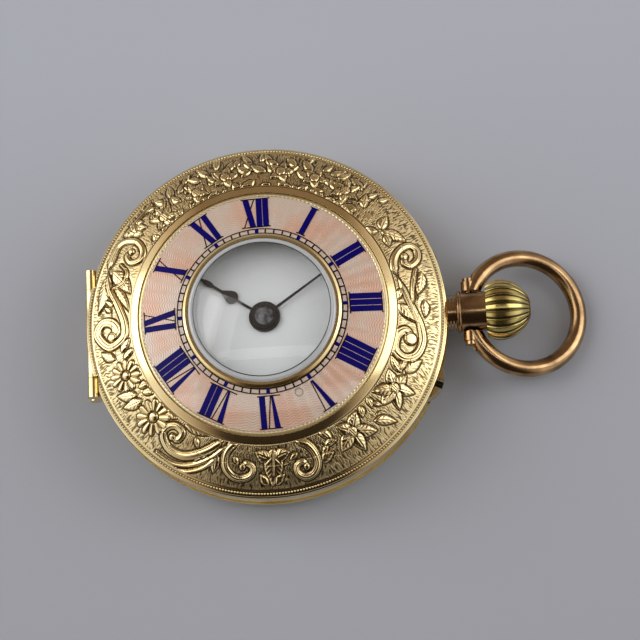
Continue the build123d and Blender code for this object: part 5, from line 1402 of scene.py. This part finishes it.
@dataclass(frozen=True)
class CrystalEdge:
    """Painted light on the crystal's edge: a pale opaque ring as a painted highlight of the bevel's bright
    rim, which catches the windows, and a dark ring as painted shade where it meets the dome.
    """

    bevel: tuple[Place, ...] = ((6.9, 9.826), (6.9, 9.838), (6.47, 10.103), (6.47, 10.091))
    seam: tuple[Place, ...] = ((6.46, 10.098), (6.46, 10.11), (6.41, 10.13), (6.37, 10.14), (6.37, 10.128))
    columns: int = 192

    def build(self, finishes: Finishes) -> None:
        """Makes the two thin rings on the crystal's edge: the painted highlight and the painted shade."""
        bevel, seam = (turned(profile, self.columns) for profile in (self.bevel, self.seam))
        piece("crystal_bevel_painted_highlight", bevel, finishes["bevel_highlight"], "front_cover")
        piece("crystal_bevel_painted_shade", seam, finishes["bevel_shade"], "front_cover")


class Studio:
    """The camera at the photograph's angle, plain soft light, and a grey floor."""

    # the camera: its angles in degrees, its distance and aim in millimetres, and the photograph's scale there
    AZIMUTH = -13.432
    ELEVATION = 74.01
    ROLL = -16.656
    DISTANCE = 261.937
    AIM = (5.017, -0.035, 5.0)
    PIXELS_PER_MM = 10.626
    IMAGE = 640
    SENSOR = 36.0
    CLIP = (0.01, 20)
    # the room's warm and the windows' cool tint, the windows' light, and how far to the side they lie
    TINTS = ("#ffdfc4", "#f4f6fa")
    WINDOW_LIGHT = 1.1
    WINDOW_EDGE = (0.4, 0.85)
    # the room's light at its darkest and brightest, the way to its bright wall, and the run between the two
    ROOM_LIGHT = (0.03, 0.24)
    BRIGHT_WALL = (-0.35, 0.94, 0.0)
    WALL_RUN = (-0.4, 0.6)
    # the floor's half width, its gap under the watch, its two tones of painted light (darker towards the
    # camera, lighter away from it) and how far they run, and its surface
    FLOOR_HALF = 3000.0
    FLOOR_GAP = 0.03
    FLOOR_PAINTED_FALLOFF = ("#aeb2bb", "#bcc2cd")
    FALLOFF_REACH = 30.0
    FLOOR_ROUGHNESS = 0.75
    FLOOR_SHINE = 0.2
    # each lamp: its name, place, size and power, in metres and watts
    LAMPS = (
        ("left_soft_box", (-0.42, 0.13, 0.34), (0.34, 0.7), 1.3),
        ("right_soft_box", (0.46, 0.06, 0.3), (0.32, 0.5), 0.85),
        ("ceiling_strip", (0.0, -0.063, 0.45), (0.5, 0.045), 0.12),
    )

    def camera(self) -> None:
        """Puts the camera on its line from the point it looks at, with the photograph's roll."""
        turn, rise, roll = (math.radians(value) for value in (self.AZIMUTH, self.ELEVATION, self.ROLL))
        ahead = Vector((math.sin(turn) * math.cos(rise), math.cos(turn) * math.cos(rise), -math.sin(rise)))
        right = ahead.cross(Vector((0, 0, 1))).normalized()
        up = right.cross(ahead)
        rolled = math.cos(roll) * right + math.sin(roll) * up
        over = math.cos(roll) * up - math.sin(roll) * right
        lens = bpy.data.cameras.new("camera")
        lens.sensor_width = self.SENSOR
        lens.lens = self.PIXELS_PER_MM * self.DISTANCE * self.SENSOR / self.IMAGE
        lens.clip_start, lens.clip_end = self.CLIP
        made = bpy.data.objects.new("camera", lens)
        place = (Vector(self.AIM) - ahead * self.DISTANCE) * MM
        axes = Matrix((rolled, over, -ahead)).transposed()
        made.matrix_world = Matrix.Translation(place) @ axes.to_4x4()
        bpy.context.scene.collection.objects.link(made)
        bpy.context.scene.camera = made

    def lamp(self, name: str, place: tuple[float, float, float], size: Place, power: float) -> None:
        """One soft box that faces the watch."""
        light = bpy.data.lights.new(name, "AREA")
        light.shape = "RECTANGLE"
        light.size, light.size_y = size
        light.energy = power
        made = bpy.data.objects.new(name, light)
        made.location = place
        made.rotation_euler = (-Vector(place)).to_track_quat("-Z", "Y").to_euler()
        bpy.context.scene.collection.objects.link(made)

    def world(self) -> None:
        """A dim warm room with a window on each side: darkest behind the camera's foot."""
        world = bpy.data.worlds.new("studio_room")
        bpy.context.scene.world = world
        nodes = Nodes(world)
        way = nodes.put("ShaderNodeTexCoord").outputs["Generated"]
        side = nodes.math("ABSOLUTE", nodes.put("ShaderNodeSeparateXYZ", {0: way}).outputs[0])
        window = nodes.remap(side, self.WINDOW_EDGE, (0.0, self.WINDOW_LIGHT))
        wall = nodes.put("ShaderNodeVectorMath", {0: way, 1: self.BRIGHT_WALL}, operation="DOT_PRODUCT")
        room = nodes.remap(wall.outputs["Value"], self.WALL_RUN, self.ROOM_LIGHT)
        tint = nodes.blend(window, *self.TINTS)
        glow = nodes.put("ShaderNodeBackground", {0: tint, 1: nodes.math("ADD", window, room)})
        nodes.put("ShaderNodeOutputWorld", {0: glow.outputs[0]})

    def floor(self) -> None:
        """A wide matt grey sheet under the watch, with painted light across it: darker towards the camera,
        lighter away from it.
        """
        material = bpy.data.materials.new("matt_grey_card")
        nodes = Nodes(material)
        across = nodes.put("ShaderNodeSeparateXYZ", {0: nodes.place()}).outputs[1]
        share = nodes.remap(across, (-self.FALLOFF_REACH, self.FALLOFF_REACH))
        # painted light: the floor's colour runs from darker near the camera to lighter away from it
        colour = nodes.blend(share, *self.FLOOR_PAINTED_FALLOFF)
        nodes.end(nodes.shader(colour, self.FLOOR_ROUGHNESS, Specular_IOR_Level=self.FLOOR_SHINE))
        half, level = self.FLOOR_HALF, -self.FLOOR_GAP
        corners = [(-half, -half, level), (half, -half, level), (half, half, level), (-half, half, level)]
        mesh = bpy.data.meshes.new("floor")
        mesh.from_pydata((np.array(corners) * MM).tolist(), [], [[0, 1, 2, 3]])
        mesh.materials.append(material)
        made = bpy.data.objects.new("floor", mesh)
        bpy.context.scene.collection.objects.link(made)

    def build(self) -> None:
        """Makes the whole studio."""
        self.camera()
        self.world()
        for lamp in self.LAMPS:
            self.lamp(*lamp)
        self.floor()
        bpy.context.scene.view_settings.view_transform = "Standard"


def dress_nodes(frame: dict, finishes: Finishes) -> None:
    """Gives every carried-over node the finish of its material slot, and three of them their own.

    Args:
        finishes: the built materials, by the record's slots and by use.
    """
    slots = {row["node"]: row["material_slot"] for row in frame["record"]["subparts"]}
    own = {"back_cover": "turned_gold", "minute_hand": "black_steel", "hour_hand": "black_steel"}
    for name, node in frame["nodes"].items():
        material = finishes[own.get(name, slots[name])]
        node.data.materials.clear()
        node.data.materials.append(material)
        LOG.info("%s: %s", name, material.name)


def main() -> None:
    """Builds every sub-assembly in order."""
    logging.basicConfig(level=logging.INFO, format="%(name)s %(message)s")
    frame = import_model()
    finishes = {use: finish.material() for use, finish in FINISHES.items()}
    dress_nodes(frame, finishes)
    for assembly in (ChasedCover(), ChapterRing(), InnerDial(), HandBosses(), CrystalEdge()):
        assembly.build(finishes)
    Studio().build()


if __name__ == "__main__":
    main()
